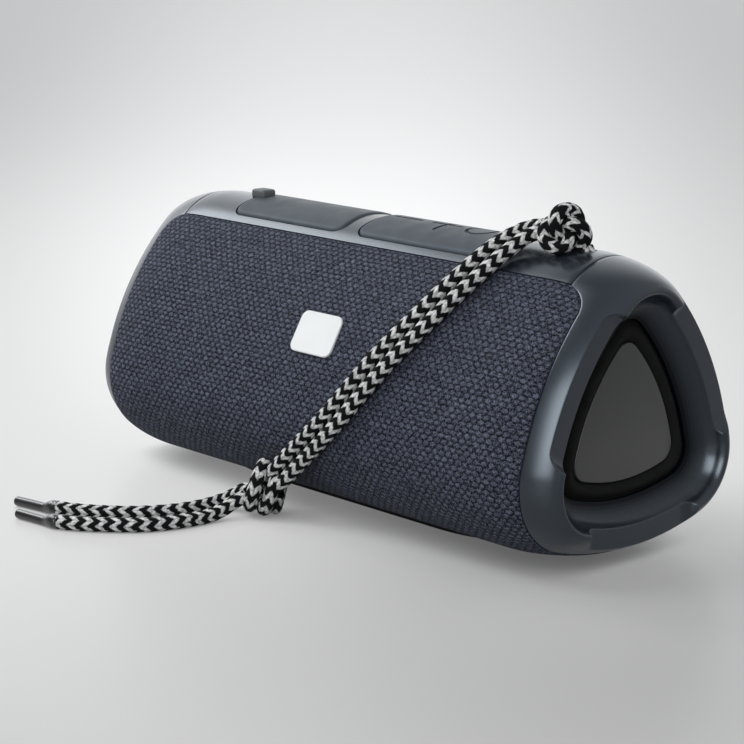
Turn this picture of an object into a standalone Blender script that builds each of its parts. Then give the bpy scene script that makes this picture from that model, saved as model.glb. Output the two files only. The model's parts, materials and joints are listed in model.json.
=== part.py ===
"""A portable speaker of rounded-triangle section, with end radiators and a braided lanyard.

Metres, +Z up. X runs along the body, -Y is the front, and the origin is the middle of the footprint.
"""

import math

import bmesh
import bpy
from mathutils import Euler, Matrix, Vector

MM = 0.001
GAP = 0.3 * MM
MERGE = 0.01 * MM
CUT_PAST = 3 * MM
CUT_DEPTH = 7 * MM

# Driving dimensions of the body
LENGTH = 200 * MM
CORNER_CENTRE = 22.5 * MM
CORNER_RADIUS = 23.7 * MM
SIDE_RADIUS = 91.4 * MM
FOOT_DROP = 1.0 * MM
ROLL_START = 74.5 * MM
ROLL_DEPTH = 9.4 * MM
SEAM_X = 83.6 * MM
FABRIC_EDGE_X = 90 * MM
FABRIC_CORNER = 8 * MM

# Layers, as distances out from the plastic surface
FABRIC_FACE = -0.45 * MM
FABRIC_THICKNESS = 0.65 * MM
STRIP_THICKNESS = 1.1 * MM
STRIP_STEPS = 10
FLANGE_FACE = -1.4 * MM
CORE_INSIDE = -4.2 * MM
TUBE_FACE = -1.7 * MM
CORE_HALF = 79.5 * MM

# End caps: a rolled ring round a dished window, cut flat along its three sides
CAP_INNER_X = CORE_HALF + GAP
CAP_SLEEVE = -4.4 * MM
SKIRT_STEPS = 4
SKIRT_LAST = math.radians(78)
DISH = ((99.8, -8.9), (98.6, -9.7), (95.6, -10.7), (93.0, -13.2), (91.2, -16.8))
CAP_BACK = ((90.2, -16.8), (90.2, -6.2), (88.6, -4.8))
FACET_X = 96.5 * MM
FACET_HALF = 22.5 * MM
FACET_SCOOP = 4.0 * MM
FACET_STEPS = 4
FACET_TURNS = (30, 150, 270)

# Passive radiators
PLATE_SHAPE = (17.5 * MM, 5.2 * MM, 60 * MM)
PLATE_FACE_X = 91.0 * MM
PLATE_BACK_X = 89.3 * MM
SURROUND_X = 89.2 * MM
RUBBER = 0.7 * MM
SURROUND_ROLL = 1.7 * MM
SURROUND_STEPS = 3
SURROUND_FLANGE = -12.0 * MM
SURROUND_EDGE = -17.2 * MM
FRAME_OUTSIDE = -5.5 * MM
FRAME_WINDOW = -17.6 * MM
FRAME_BACK_X = 86.4 * MM
PLATE_BEVEL = 0.4 * MM

# Drivers, measured out from the section's centre along the front face's normal
DRIVER_X = 46 * MM
DRIVER_DROP = 3 * MM
BOSS_RADIUS = 25 * MM
BOSS_STEPS = 24
BOSS_BACK = 26.6 * MM
BOSS_REACH = 15 * MM
SEAT = 29.6 * MM
RECESS_RADIUS = 23.4 * MM
HOLE_RADIUS = 20.5 * MM
DRIVER_STEPS = 14
GUARD_BACK = 31.7 * MM
GUARD_THICKNESS = 0.8 * MM
GUARD_HOLE = 3.0 * MM
GUARD_INSET = 0.8 * MM
GUARD_RINGS = ((0.0, 1), (8.0, 6), (16.2, 6))

# Top controls, in X along the crest and in arc length across it
PAD_HALF = 14.5 * MM
PAD_CORNER = 4.5 * MM
PAD_SLOT = 0.5 * MM
COVER_X = (-62 * MM, -11 * MM)
COVER_RISE = 1.3 * MM
KEYPAD_X = (-5 * MM, 47.8 * MM)
KEYPAD_RISE = 0.8 * MM
KEYS = {"minus_key": 6 * MM, "plus_key": 21.5 * MM, "ring_key": 37 * MM}
KEY_HALF_X = 6.5 * MM
KEY_HALF_ARC = 8 * MM
KEY_CORNER = 3 * MM
KEY_GAP = 0.4 * MM
KEY_THICKNESS = 1.2 * MM
STEM_RADIUS = 2.0 * MM
STEM_STEPS = 14

# Lanyard
CORD_RADIUS = 2.1 * MM
LOOP_X = 68 * MM
LOOP_RADIUS = 8.4 * MM
LOOP_DEPTH = 4.7 * MM
LOOP_END = math.radians(38)
TUNNEL_RADIUS = 2.6 * MM
CORD_STEP = 6.5 * MM
FINE_STEPS = 24
LOOP_STEPS = 11
ANCHOR_HALF_X = 10.8 * MM
ANCHOR_HALF_Y = 4.6 * MM
ANCHOR_DEPTHS = (16 * MM, 5.4 * MM)
KNOT_TURNS = 3
KNOT_GROOVE = 0.13
KNOT_STEPS = (12, 12)
AGLET_RADIUS = 1.25 * MM
AGLET_LENGTH = 15.5 * MM


def side_centre(shape):
    """Distance from the section's centre to the centre of a side's arc."""
    corner, radius, side = shape
    return math.sqrt((side - radius) ** 2 - 0.75 * corner**2) - corner / 2


def side_half_angle(shape):
    """Half of the angle that a side's arc turns through, in degrees."""
    corner = shape[0]
    across = corner * math.sin(math.radians(60))
    return math.degrees(math.atan2(across, side_centre(shape) + corner / 2))


BODY_SHAPE = (CORNER_CENTRE, CORNER_RADIUS, SIDE_RADIUS)
CENTRE_Z = SIDE_RADIUS - side_centre(BODY_SHAPE) + FOOT_DROP
SIDE_TURN = 2 * side_half_angle(BODY_SHAPE)
CORNER_TURN = 120 - SIDE_TURN
CREST_Z = CENTRE_Z + CORNER_CENTRE + CORNER_RADIUS
FRONT_TURN = Matrix.Rotation(math.radians(60), 3, "X")
BACK_TURN = Matrix.Rotation(math.radians(-60), 3, "X")

# Lanyard routes, chosen point by point in millimetres above the floor
STRAND_ROUTES = {
    "upper_strand": (
        (58.6, -3.6, 89.9), (54.6, -5.6, 88.3), (51.6, -12.6, 84.6), (47.5, -21.7, 77.1),
        (41.1, -30.2, 66.8), (30.9, -38.5, 52.8), (17.9, -45.0, 34.9), (7.1, -46.6, 24.0),
        (-0.6, -47.4, 16.4),
    ),
    "lower_strand": (
        (61.2, -9.7, 87.9), (59.2, -12.9, 85.2), (57.0, -17.0, 81.8), (53.0, -23.7, 75.0),
        (46.4, -31.6, 64.9), (36.1, -39.3, 51.0), (23.0, -45.4, 33.2), (11.4, -46.6, 21.4),
        (2.2, -47.9, 12.2),
    ),
}
TAIL_ROUTES = {
    "near_tail": (
        (-10.3, -55.0, 5.2), (-11.2, -59.4, 3.1), (-11.4, -64.5, 2.2), (-11.9, -71.0, 2.2),
        (-13.6, -78.3, 2.2), (-16.8, -84.6, 2.2), (-21.3, -89.9, 2.2), (-26.0, -94.4, 2.2),
        (-30.6, -98.2, 2.2), (-36.0, -101.2, 2.2),
    ),
    "far_tail": (
        (-14.3, -48.7, 6.6), (-18.2, -50.6, 4.0), (-20.5, -55.0, 2.4), (-21.1, -63.5, 2.2),
        (-23.2, -70.8, 2.2), (-26.7, -77.1, 2.2), (-31.2, -82.3, 2.2), (-36.5, -86.8, 2.2),
        (-42.0, -90.4, 2.2), (-47.8, -93.0, 2.2),
    ),
}
KNOTS = {
    "upper_knot": ((68.4, -2.5, 91.9), (9.3, 8.2, 6.2)),
    "lower_knot": ((-6.6, -47.6, 8.2), (7.2, 7.0, 7.8)),
}
AGLETS = {"near_aglet": ("near_tail", 22), "far_aglet": ("far_tail", 14)}


def roll(x):
    """How far the surface draws in at this X, where the ends roll over."""
    along = max(0.0, (abs(x) - ROLL_START) / (LENGTH / 2 - ROLL_START))
    return -ROLL_DEPTH * (1 - math.sqrt(max(0.0, 1 - along**2)))


def outline_point(angle, offset=0.0, shape=BODY_SHAPE):
    """(y, z) of the outline's point whose normal has this angle in degrees from +Y, moved out by offset."""
    corner, radius, side = shape
    nearest = 90 + 120 * round((angle - 90) / 120)
    away = angle - nearest
    if abs(away) <= 60 - side_half_angle(shape):
        reach, bend, middle = corner, radius, math.radians(nearest)
    else:
        reach, bend = -side_centre(shape), side
        middle = math.radians(nearest + math.copysign(60, away))
    normal = math.radians(angle)
    y = reach * math.cos(middle) + (bend + offset) * math.cos(normal)
    z = reach * math.sin(middle) + (bend + offset) * math.sin(normal)
    return y, z


def body_point(x, angle, offset):
    """A point at this distance out from the rolled plastic surface."""
    y, z = outline_point(angle, offset + roll(x))
    return Vector((x, y, CENTRE_Z + z))


def ring_angles(corner_steps=7, bottom_steps=4, edge=(0.7, 2.0, 5.0, 14.0, 23.5)):
    """Outline angles from the strip's front edge, anticlockwise once round, close-set near the strip."""
    strip_edge = 90 + CORNER_TURN / 2
    front = [strip_edge + step for step in (0, *edge)]
    lower = strip_edge + SIDE_TURN
    corner = [lower + CORNER_TURN * i / corner_steps for i in range(corner_steps)]
    bottom = [lower + CORNER_TURN + SIDE_TURN * i / bottom_steps for i in range(bottom_steps)]
    rear_corner = [540 - angle for angle in reversed(corner)]
    back = [540 - angle for angle in reversed(front)]
    crest = [back[-1] + CORNER_TURN * i / corner_steps for i in range(1, corner_steps)]
    return front + corner + bottom + [540 - lower - CORNER_TURN] + rear_corner + back + crest


COARSE_TURNS = (-38, -23, -8, 8, 23, 38, 50, 60, 70)
COARSE_ANGLES = [90 + 120 * corner + turn for corner in range(3) for turn in COARSE_TURNS]


def clear_scene():
    for obj in list(bpy.data.objects):
        bpy.data.objects.remove(obj, do_unlink=True)


def new_collection(name):
    collection = bpy.data.collections.new(name)
    bpy.context.scene.collection.children.link(collection)
    return collection


clear_scene()
PARTS = new_collection("triangular_speaker")
CUTTERS = new_collection("cutters")

FINISHES = {
    "satin_plastic": ((0.070, 0.080, 0.100), 0.42, 0.0),
    "matte_rubber": ((0.062, 0.070, 0.080), 0.75, 0.0),
    "black_rubber": ((0.006, 0.006, 0.007), 0.55, 0.0),
    "fabric": ((0.028, 0.032, 0.046), 0.9, 0.0),
    "gloss_plate": ((0.045, 0.045, 0.045), 0.22, 0.0),
    "white_plastic": ((0.80, 0.80, 0.79), 0.4, 0.0),
    "inner_plastic": ((0.020, 0.020, 0.022), 0.6, 0.0),
    "steel": ((0.45, 0.45, 0.46), 0.35, 1.0),
    "board": ((0.010, 0.070, 0.035), 0.5, 0.0),
    "cell_wrap": ((0.030, 0.120, 0.320), 0.45, 0.0),
    "paper_cone": ((0.015, 0.015, 0.015), 0.85, 0.0),
    "braid": ((0.180, 0.180, 0.180), 0.9, 0.0),
    "aglet": ((0.050, 0.050, 0.052), 0.35, 0.6),
}


def finish(obj, kind):
    """Gives the object a Principled material of its own."""
    colour, roughness, metallic = FINISHES[kind]
    material = bpy.data.materials.new(f"{obj.name}_{kind}")
    material.use_nodes = True
    shader = material.node_tree.nodes["Principled BSDF"]
    shader.inputs["Base Color"].default_value = (*colour, 1)
    shader.inputs["Roughness"].default_value = roughness
    shader.inputs["Metallic"].default_value = metallic
    obj.data.materials.append(material)
    return obj


def add_object(name, data, kind=None):
    """Links a part with its finish, or a hidden cutter where there is none."""
    obj = bpy.data.objects.new(name, data)
    if kind:
        PARTS.objects.link(obj)
        return finish(obj, kind)
    CUTTERS.objects.link(obj)
    obj.hide_render = True
    obj.display_type = "WIRE"
    return obj


def mesh_from(bm, name):
    """Turns the bmesh into a smooth-shaded mesh with crisp edges kept sharp."""
    mesh = bpy.data.meshes.new(name)
    bm.to_mesh(mesh)
    bm.free()
    mesh.shade_smooth()
    mesh.set_sharp_from_angle(angle=math.radians(35))
    return mesh


def boolean(target, tool, operation="DIFFERENCE"):
    modifier = target.modifiers.new(tool.name, "BOOLEAN")
    modifier.operation = operation
    modifier.object = tool


def bevel(obj, width, segments=1, angle=50):
    modifier = obj.modifiers.new("bevel", "BEVEL")
    modifier.width = width
    modifier.segments = segments
    modifier.limit_method = "ANGLE"
    modifier.angle_limit = math.radians(angle)


def box(name, low, high, kind=None):
    bm = bmesh.new()
    size = [b - a for a, b in zip(low, high)]
    middle = Vector([(a + b) / 2 for a, b in zip(low, high)])
    bmesh.ops.create_cube(bm, size=1, matrix=Matrix.Translation(middle) @ Matrix.Diagonal((*size, 1)))
    return add_object(name, mesh_from(bm, name), kind)


def block(name, ends, half_y, heights, kind=None):
    """A box between two X values and two heights, with the body's middle plane half way through it."""
    return box(name, (ends[0], -half_y, heights[0]), (ends[1], half_y, heights[1]), kind)


def around(centre, half):
    return centre - half, centre + half


def cylinder(name, radius, low, high, centre=(0, 0), steps=20, kind=None):
    """A cylinder along local Z between two heights."""
    bm = bmesh.new()
    middle = Matrix.Translation((*centre, (low + high) / 2))
    bmesh.ops.create_cone(bm, cap_ends=True, segments=steps, radius1=radius, radius2=radius,
                          depth=high - low, matrix=middle)
    return add_object(name, mesh_from(bm, name), kind)


def loft(name, rows, kind=None, ring=True):
    """Joins rows of points, each a closed loop: into a ring round a hole, or a bar with capped ends."""
    bm = bmesh.new()
    grid = [[bm.verts.new(point) for point in row] for row in rows]
    count = len(rows[0])
    for i in range(len(rows) if ring else len(rows) - 1):
        first, second = grid[i], grid[(i + 1) % len(grid)]
        for j in range(count):
            k = (j + 1) % count
            bm.faces.new((first[j], first[k], second[k], second[j]))
    if not ring:
        bm.faces.new(grid[0])
        bm.faces.new(grid[-1])
    bmesh.ops.recalc_face_normals(bm, faces=bm.faces)
    return add_object(name, mesh_from(bm, name), kind)


def sheet(name, patches, thickness, kind=None):
    """Open patches, each through columns of points, thickened inwards."""
    bm = bmesh.new()
    for columns in patches:
        grid = [[bm.verts.new(point) for point in column] for column in columns]
        for left, right in zip(grid, grid[1:]):
            for j in range(len(left) - 1):
                bm.faces.new((left[j], right[j], right[j + 1], left[j + 1]))
    obj = add_object(name, mesh_from(bm, name), kind)
    solidify = obj.modifiers.new("thickness", "SOLIDIFY")
    solidify.thickness = thickness
    solidify.offset = -1
    return obj


def crest_columns(ends, half_arc, corner, face):
    """Columns of a rounded rectangle wrapped over the crest, between two X values and two arc lengths."""
    turns = [math.radians(step) for step in (0, 45, 90)]
    edge = [(half_arc - corner * (1 - math.cos(a)), corner * (1 - math.sin(a))) for a in turns]
    flat = half_arc - corner
    middle = [(flat * (1 - i / 3), 0.0) for i in range(1, 6)]
    across = [(-arc, inset) for arc, inset in edge] + [(-arc, inset) for arc, inset in middle]
    across += [(arc, inset) for arc, inset in reversed(edge)]
    columns = []
    for arc, inset in across:
        angle = 90 + math.degrees(arc / CORNER_RADIUS)
        columns.append([body_point(x, angle, face) for x in (ends[0] + inset, ends[1] - inset)])
    return columns


def crest_patch(name, ends, half_arc, corner, face, thickness, kind=None):
    return sheet(name, [crest_columns(ends, half_arc, corner, face)], thickness, kind)


def plate(name, outlines, thickness, kind=None):
    """A flat piece: outlines in local XY, holes included, made this thick along local Z."""
    curve = bpy.data.curves.new(name, "CURVE")
    curve.dimensions = "2D"
    curve.fill_mode = "BOTH"
    curve.extrude = thickness / 2
    for outline in outlines:
        spline = curve.splines.new("POLY")
        spline.points.add(len(outline) - 1)
        for point, (x, y) in zip(spline.points, outline):
            point.co = (x, y, 0, 1)
        spline.use_cyclic_u = True
    return add_object(name, curve, kind)


def weld(obj):
    modifier = obj.modifiers.new("weld", "WELD")
    modifier.merge_threshold = MERGE


def across_body(obj, x):
    """Turns a plate so that its outline lies in the body's section at this X."""
    obj.rotation_euler = Euler((math.radians(90), 0, math.radians(90)))
    obj.location = (x, 0, CENTRE_Z)
    return obj


def turned(name, profile, kind=None, steps=DRIVER_STEPS, closed=False):
    """A (radius, height) profile turned round local Z; it runs down its outer side."""
    mesh = bpy.data.meshes.new(name)
    edges = [(i, i + 1) for i in range(len(profile) - 1)]
    if closed:
        edges.append((len(profile) - 1, 0))
    mesh.from_pydata([(radius, 0, height) for radius, height in profile], edges, [])
    obj = add_object(name, mesh, kind)
    screw = obj.modifiers.new("turn", "SCREW")
    screw.steps = steps
    screw.render_steps = steps
    screw.use_merge_vertices = True
    screw.merge_threshold = MERGE
    screw.use_smooth_shade = True
    return obj


def on_front(obj, x, drop=0.0):
    """Stands local Z along the front face's normal, with local Y up the face, a drop below its middle."""
    obj.rotation_euler = FRONT_TURN.to_euler()
    obj.location = Vector((x, 0, CENTRE_Z)) + FRONT_TURN @ Vector((0, -drop, 0))
    return obj


def on_back(obj):
    """Stands local Z along the back face's normal."""
    obj.rotation_euler = BACK_TURN.to_euler()
    obj.location = (0, 0, CENTRE_Z)
    return obj


def rounded_rectangle(half_x, half_y, corner, steps=4):
    points = []
    for quarter, (sx, sy) in enumerate(((1, 1), (-1, 1), (-1, -1), (1, -1))):
        for i in range(steps + 1):
            angle = math.radians(90 * (quarter + i / steps))
            points.append((sx * (half_x - corner) + corner * math.cos(angle),
                           sy * (half_y - corner) + corner * math.sin(angle)))
    return points


def circle(radius, steps, centre=(0.0, 0.0)):
    turns = [2 * math.pi * i / steps for i in range(steps)]
    return [(centre[0] + radius * math.cos(a), centre[1] + radius * math.sin(a)) for a in turns]


# Enclosure: a rolled tube, with driver seats and posts left standing in its hollow
BOARD_POSTS = ((-46, -9), (46, -9), (-46, 9), (46, 9))
KEY_POSTS = ((-3, -6.5), (-3, 6.5), (46, -6.5), (46, 6.5))
PORT_POSTS = ((-56, 0), (-18, 0))
BOARD_POST_RADIUS = 2.5 * MM
CREST_POST_RADIUS = 2 * MM
POST_STEPS = 8
STEM_CLEARANCE = 0.6 * MM
CREST_CUT = (CREST_Z - 8 * MM, CREST_Z + 5 * MM)


def tube_rows(end, face):
    """Sections of the inner tube, out to this X at both ends."""
    return [[body_point(x, a, face) for a in COARSE_ANGLES] for x in (-end, -ROLL_START, ROLL_START, end)]


def leave_crest_posts(hollow, word, places, board_top):
    """Leaves posts standing in the hollow, from the crest down to a board."""
    for i, (x, y) in enumerate(places):
        centre = (x * MM, y * MM)
        low = board_top + GAP
        boolean(hollow, cylinder(f"{word}_post_{i}", CREST_POST_RADIUS, low, CREST_Z, centre, POST_STEPS))


def make_enclosure():
    shell = loft("enclosure", tube_rows(CORE_HALF, TUBE_FACE), "inner_plastic", ring=False)
    hollow = loft("hollow", tube_rows(CORE_HALF + CUT_PAST, CORE_INSIDE), ring=False)
    drivers = (("left", -DRIVER_X), ("right", DRIVER_X))
    for word, x in drivers:
        boss = cylinder(f"{word}_boss", BOSS_RADIUS, BOSS_BACK, SEAT + BOSS_REACH, steps=BOSS_STEPS)
        boolean(hollow, on_front(boss, x, DRIVER_DROP))
    for i, (x, y) in enumerate(BOARD_POSTS):
        post = cylinder(f"board_post_{i}", BOARD_POST_RADIUS, BOARD_OUT + GAP, SEAT + BOSS_REACH,
                        (x * MM, y * MM), POST_STEPS)
        boolean(hollow, on_back(post))
    leave_crest_posts(hollow, "key", KEY_POSTS, KEY_BOARD_TOP)
    leave_crest_posts(hollow, "port", PORT_POSTS, PORT_BOARD_TOP)
    boolean(shell, hollow)
    for word, x in drivers:
        recess = cylinder(f"{word}_recess", RECESS_RADIUS, SEAT, SEAT + BOSS_REACH, steps=BOSS_STEPS)
        boolean(shell, on_front(recess, x, DRIVER_DROP))
        hole = cylinder(f"{word}_hole", HOLE_RADIUS, SEAT - BOSS_REACH, SEAT + CUT_PAST, steps=BOSS_STEPS)
        boolean(shell, on_front(hole, x, DRIVER_DROP))
    opening = block("port_opening", (TRAY_X[0] - GAP, TRAY_X[1] + GAP), TRAY_HALF_Y + GAP, CREST_CUT)
    boolean(shell, opening)
    for name, x in KEYS.items():
        boolean(shell, cylinder(f"{name}_hole", STEM_RADIUS + STEM_CLEARANCE, *CREST_CUT, (x, 0), STEM_STEPS))
    boolean(shell, TUNNEL)


# Fabric: one sheet from the strip's front edge round the base to its back edge
def make_fabric():
    inset = math.degrees(GAP / SIDE_RADIUS)
    strip_edge = 90 + CORNER_TURN / 2
    angles = [a for a in ring_angles() if strip_edge <= a <= 540 - strip_edge]
    angles[0] += inset
    angles[-1] -= inset
    columns = []
    for angle in angles:
        edge = cap_edge(angle) - GAP
        bend = ROLL_START + 0.6 * (edge - ROLL_START)
        stations = (-edge, -bend, -ROLL_START, ROLL_START, bend, edge)
        columns.append([body_point(x, angle, FABRIC_FACE) for x in stations])
    sheet("fabric_wrap", [columns], FABRIC_THICKNESS, "fabric")


def cap_edge(angle):
    """X of an end cap's visible edge at this outline angle, with the fabric's rounded corner."""
    from_crest = abs((angle + 90) % 360 - 180)
    below = math.radians(from_crest - CORNER_TURN / 2) * SIDE_RADIUS
    if below < 0:
        return SEAM_X
    if below >= FABRIC_CORNER:
        return FABRIC_EDGE_X
    across = math.sqrt(FABRIC_CORNER**2 - (FABRIC_CORNER - below) ** 2)
    return max(SEAM_X, FABRIC_EDGE_X - FABRIC_CORNER + across)


# Top strip over the crest, opened for the port cover, the keypad and the lanyard
def make_top_strip():
    reach = SEAM_X - GAP
    stations = (-reach, -CORE_HALF, -ROLL_START, ROLL_START, CORE_HALF, reach)
    angles = [90 + CORNER_TURN * (i / STRIP_STEPS - 0.5) for i in range(STRIP_STEPS + 1)]
    strip = sheet("top_strip", [[[body_point(x, a, 0) for x in stations] for a in angles]],
                  STRIP_THICKNESS, "satin_plastic")
    slots = []
    for low, high in (COVER_X, KEYPAD_X):
        ends = (low - PAD_SLOT, high + PAD_SLOT)
        slots.append(crest_columns(ends, PAD_HALF + PAD_SLOT, PAD_CORNER + PAD_SLOT, CUT_PAST))
    boolean(strip, sheet("pad_slots", slots, CUT_DEPTH))
    boolean(strip, TUNNEL)


def cap_profile(angle):
    """(x, offset) round an end cap's wall at this outline angle, starting on its hidden flange."""
    edge = cap_edge(angle)
    span = LENGTH / 2 - ROLL_START
    first = math.asin((edge - ROLL_START) / span)
    flange = [(x, roll(x) + FLANGE_FACE) for x in (CAP_INNER_X, edge)]
    profile = flange + [(edge, roll(edge))]
    for i in range(1, SKIRT_STEPS + 1):
        x = ROLL_START + span * math.sin(first + (SKIRT_LAST - first) * i / SKIRT_STEPS)
        profile.append((x, roll(x)))
    profile += [(x * MM, offset * MM) for x, offset in DISH + CAP_BACK]
    return profile + [(CAP_INNER_X, CAP_SLEEVE)]


def facet_cutter(name, side, turn):
    """Cuts one side of an end ring flat, with a scoop at each end."""
    points = [(-FACET_HALF, LENGTH / 2 + CUT_PAST)]
    for i in range(FACET_STEPS + 1):
        angle = math.radians(90 * i / FACET_STEPS)
        points.append((-FACET_HALF + FACET_SCOOP * (1 - math.cos(angle)),
                       FACET_X + FACET_SCOOP * (1 - math.sin(angle))))
    points += [(-u, x) for u, x in reversed(points)]
    normal = Vector((0, math.cos(turn), math.sin(turn)))
    along = Vector((0, -math.sin(turn), math.cos(turn)))
    rows = []
    for reach in (CORNER_CENTRE, SIDE_RADIUS):
        rows.append([normal * reach + along * u + Vector((side * x, 0, CENTRE_Z)) for u, x in points])
    return loft(name, rows, ring=False)


# End caps
def make_end_cap(side, word):
    angles = ring_angles()
    profiles = [cap_profile(angle) for angle in angles]
    rows = []
    for i in range(len(profiles[0])):
        row = []
        for angle, profile in zip(angles, profiles):
            x, offset = profile[i]
            y, z = outline_point(angle, offset)
            row.append((side * x, y, CENTRE_Z + z))
        rows.append(row)
    cap = loft(f"{word}_end_cap", rows, "satin_plastic")
    for i, turn in enumerate(FACET_TURNS):
        boolean(cap, facet_cutter(f"{word}_facet_{i}", side, math.radians(turn)))


# Passive radiators: a clamped frame, a rolled rubber surround and a moving plate
def surround_row(side, lift, edge, share):
    """A row of the rubber roll, this share of the way in from its edge to the plate."""
    x = side * (SURROUND_X + lift + SURROUND_ROLL * math.sin(math.pi * share))
    row = []
    for angle in COARSE_ANGLES:
        outer = Vector(outline_point(angle, edge))
        inner = Vector(outline_point(angle, GAP, PLATE_SHAPE))
        y, z = outer.lerp(inner, share)
        row.append(Vector((x, y, CENTRE_Z + z)))
    return row


def make_radiator(side, word):
    window = [outline_point(a, FRAME_WINDOW) for a in COARSE_ANGLES]
    outside = [outline_point(a, FRAME_OUTSIDE) for a in COARSE_ANGLES]
    depth = SURROUND_X - GAP - FRAME_BACK_X
    frame = plate(f"{word}_radiator_frame", (outside, window), depth, "inner_plastic")
    across_body(frame, side * (FRAME_BACK_X + depth / 2))
    rows = []
    steps = [i / SURROUND_STEPS for i in range(SURROUND_STEPS + 1)]
    for lift, order in ((RUBBER, steps), (0.0, steps[::-1])):
        flange = surround_row(side, lift, SURROUND_FLANGE, 0.0)
        rolled = [surround_row(side, lift, SURROUND_EDGE, t) for t in order]
        rows += [flange] + rolled if lift else rolled + [flange]
    loft(f"{word}_radiator_surround", rows, "black_rubber")
    disc = plate(f"{word}_radiator_plate", ([outline_point(a, 0, PLATE_SHAPE) for a in COARSE_ANGLES],),
                 PLATE_FACE_X - PLATE_BACK_X, "gloss_plate")
    across_body(disc, side * (PLATE_FACE_X + PLATE_BACK_X) / 2)
    weld(disc)
    bevel(disc, PLATE_BEVEL)


# Drivers: basket, magnet, surround, cone and the perforated guard in front
BASKET = ((19.4, 1.8), (23.0, 1.8), (23.0, 0.3), (20.0, 0.3), (20.0, -2.8), (11.6, -10.0), (11.6, -11.4),
          (9.6, -11.4), (9.6, -9.8), (17.4, -3.0), (17.4, -2.1), (19.4, -2.1))
MAGNET = ((0, -11.7), (12.0, -11.7), (13.0, -12.5), (13.0, -19.4), (12.0, -20.4), (0, -20.4))
CONE_SURROUND = ((17.8, -1.2), (19.1, -1.2), (19.1, -1.8), (17.6, -1.8), (16.6, -0.9), (15.7, -1.8),
                 (15.3, -1.8), (15.3, -1.2), (16.6, -0.1))
CONE = ((0, -3.4), (4.0, -3.9), (7.9, -6.3), (14.2, -1.1), (15.0, -1.1), (15.0, -1.9), (8.2, -7.5),
        (8.2, -9.5), (7.4, -9.5), (7.4, -7.0), (3.8, -4.8), (0, -4.3))
WINDOW_REACH = 30 * MM
WINDOW_HALF = 4.5 * MM
WINDOW_HEIGHTS = (SEAT - 8.8 * MM, SEAT - 3.8 * MM)


def from_seat(profile):
    """(radius, height) in millimetres above a driver's seat, measured instead from the section's centre."""
    return [(radius * MM, SEAT + height * MM) for radius, height in profile]


def make_driver(x, word):
    def place(obj):
        return on_front(obj, x, DRIVER_DROP)

    basket = place(turned(f"{word}_driver_basket", from_seat(BASKET), "steel", closed=True))
    for turn in (45, 135):
        window = place(block(f"{word}_window_{turn}", around(0, WINDOW_REACH), WINDOW_HALF, WINDOW_HEIGHTS))
        window.rotation_euler = (FRONT_TURN @ Matrix.Rotation(math.radians(turn), 3, "Z")).to_euler()
        boolean(basket, window)
    place(turned(f"{word}_driver_magnet", from_seat(MAGNET), "steel"))
    place(turned(f"{word}_cone_surround", from_seat(CONE_SURROUND), "black_rubber", closed=True))
    place(turned(f"{word}_driver_cone", from_seat(CONE), "paper_cone"))
    outlines = [circle(RECESS_RADIUS - GUARD_INSET, DRIVER_STEPS)]
    for radius, count in GUARD_RINGS:
        outlines += [circle(GUARD_HOLE, 6, centre) for centre in circle(radius * MM, count)]
    guard = place(plate(f"{word}_driver_guard", outlines, GUARD_THICKNESS, "steel"))
    guard.location += FRONT_TURN @ Vector((0, 0, GUARD_BACK + GUARD_THICKNESS / 2))


# Port bay: tray, sockets on their board and the hinged rubber cover
TRAY_X = (-51.7 * MM, -22.3 * MM)
TRAY_HALF_Y = 6.7 * MM
TRAY_WALL = 1.2 * MM
TRAY_TOP = CREST_Z - 2.5 * MM
TRAY_BOTTOM = CREST_Z - 10.2 * MM
PORT_BOARD_TOP = TRAY_BOTTOM - 6.3 * MM
BOARD_THICKNESS = 1.6 * MM
USB_X = -43 * MM
AUX_X = -31 * MM
USB_HALF = (4.5 * MM, 1.6 * MM)
USB_WALL = 0.35 * MM
USB_TONGUE = (3.3 * MM, 0.35 * MM)
AUX_RADIUS = 3.0 * MM
AUX_MOUTH = 1.8 * MM
SOCKET_FLOOR = 1 * MM
PORT_BOARD_X = (-59 * MM, -15 * MM)
PORT_BOARD_HALF_Y = 6 * MM
COVER_BEVEL = 0.5 * MM
TAB_X = (-62.6 * MM, -54.8 * MM)
TAB_HALF_Y = 3.5 * MM
TAB_RISE = 3.2 * MM
TAB_BEVEL = 0.8 * MM
PLUG_X = (-49.5 * MM, -24.5 * MM)
PLUG_HALF_Y = 4.6 * MM
PLUG_BOTTOM = CREST_Z - 3.2 * MM
HINGE_Z = CREST_Z + COVER_RISE


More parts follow.
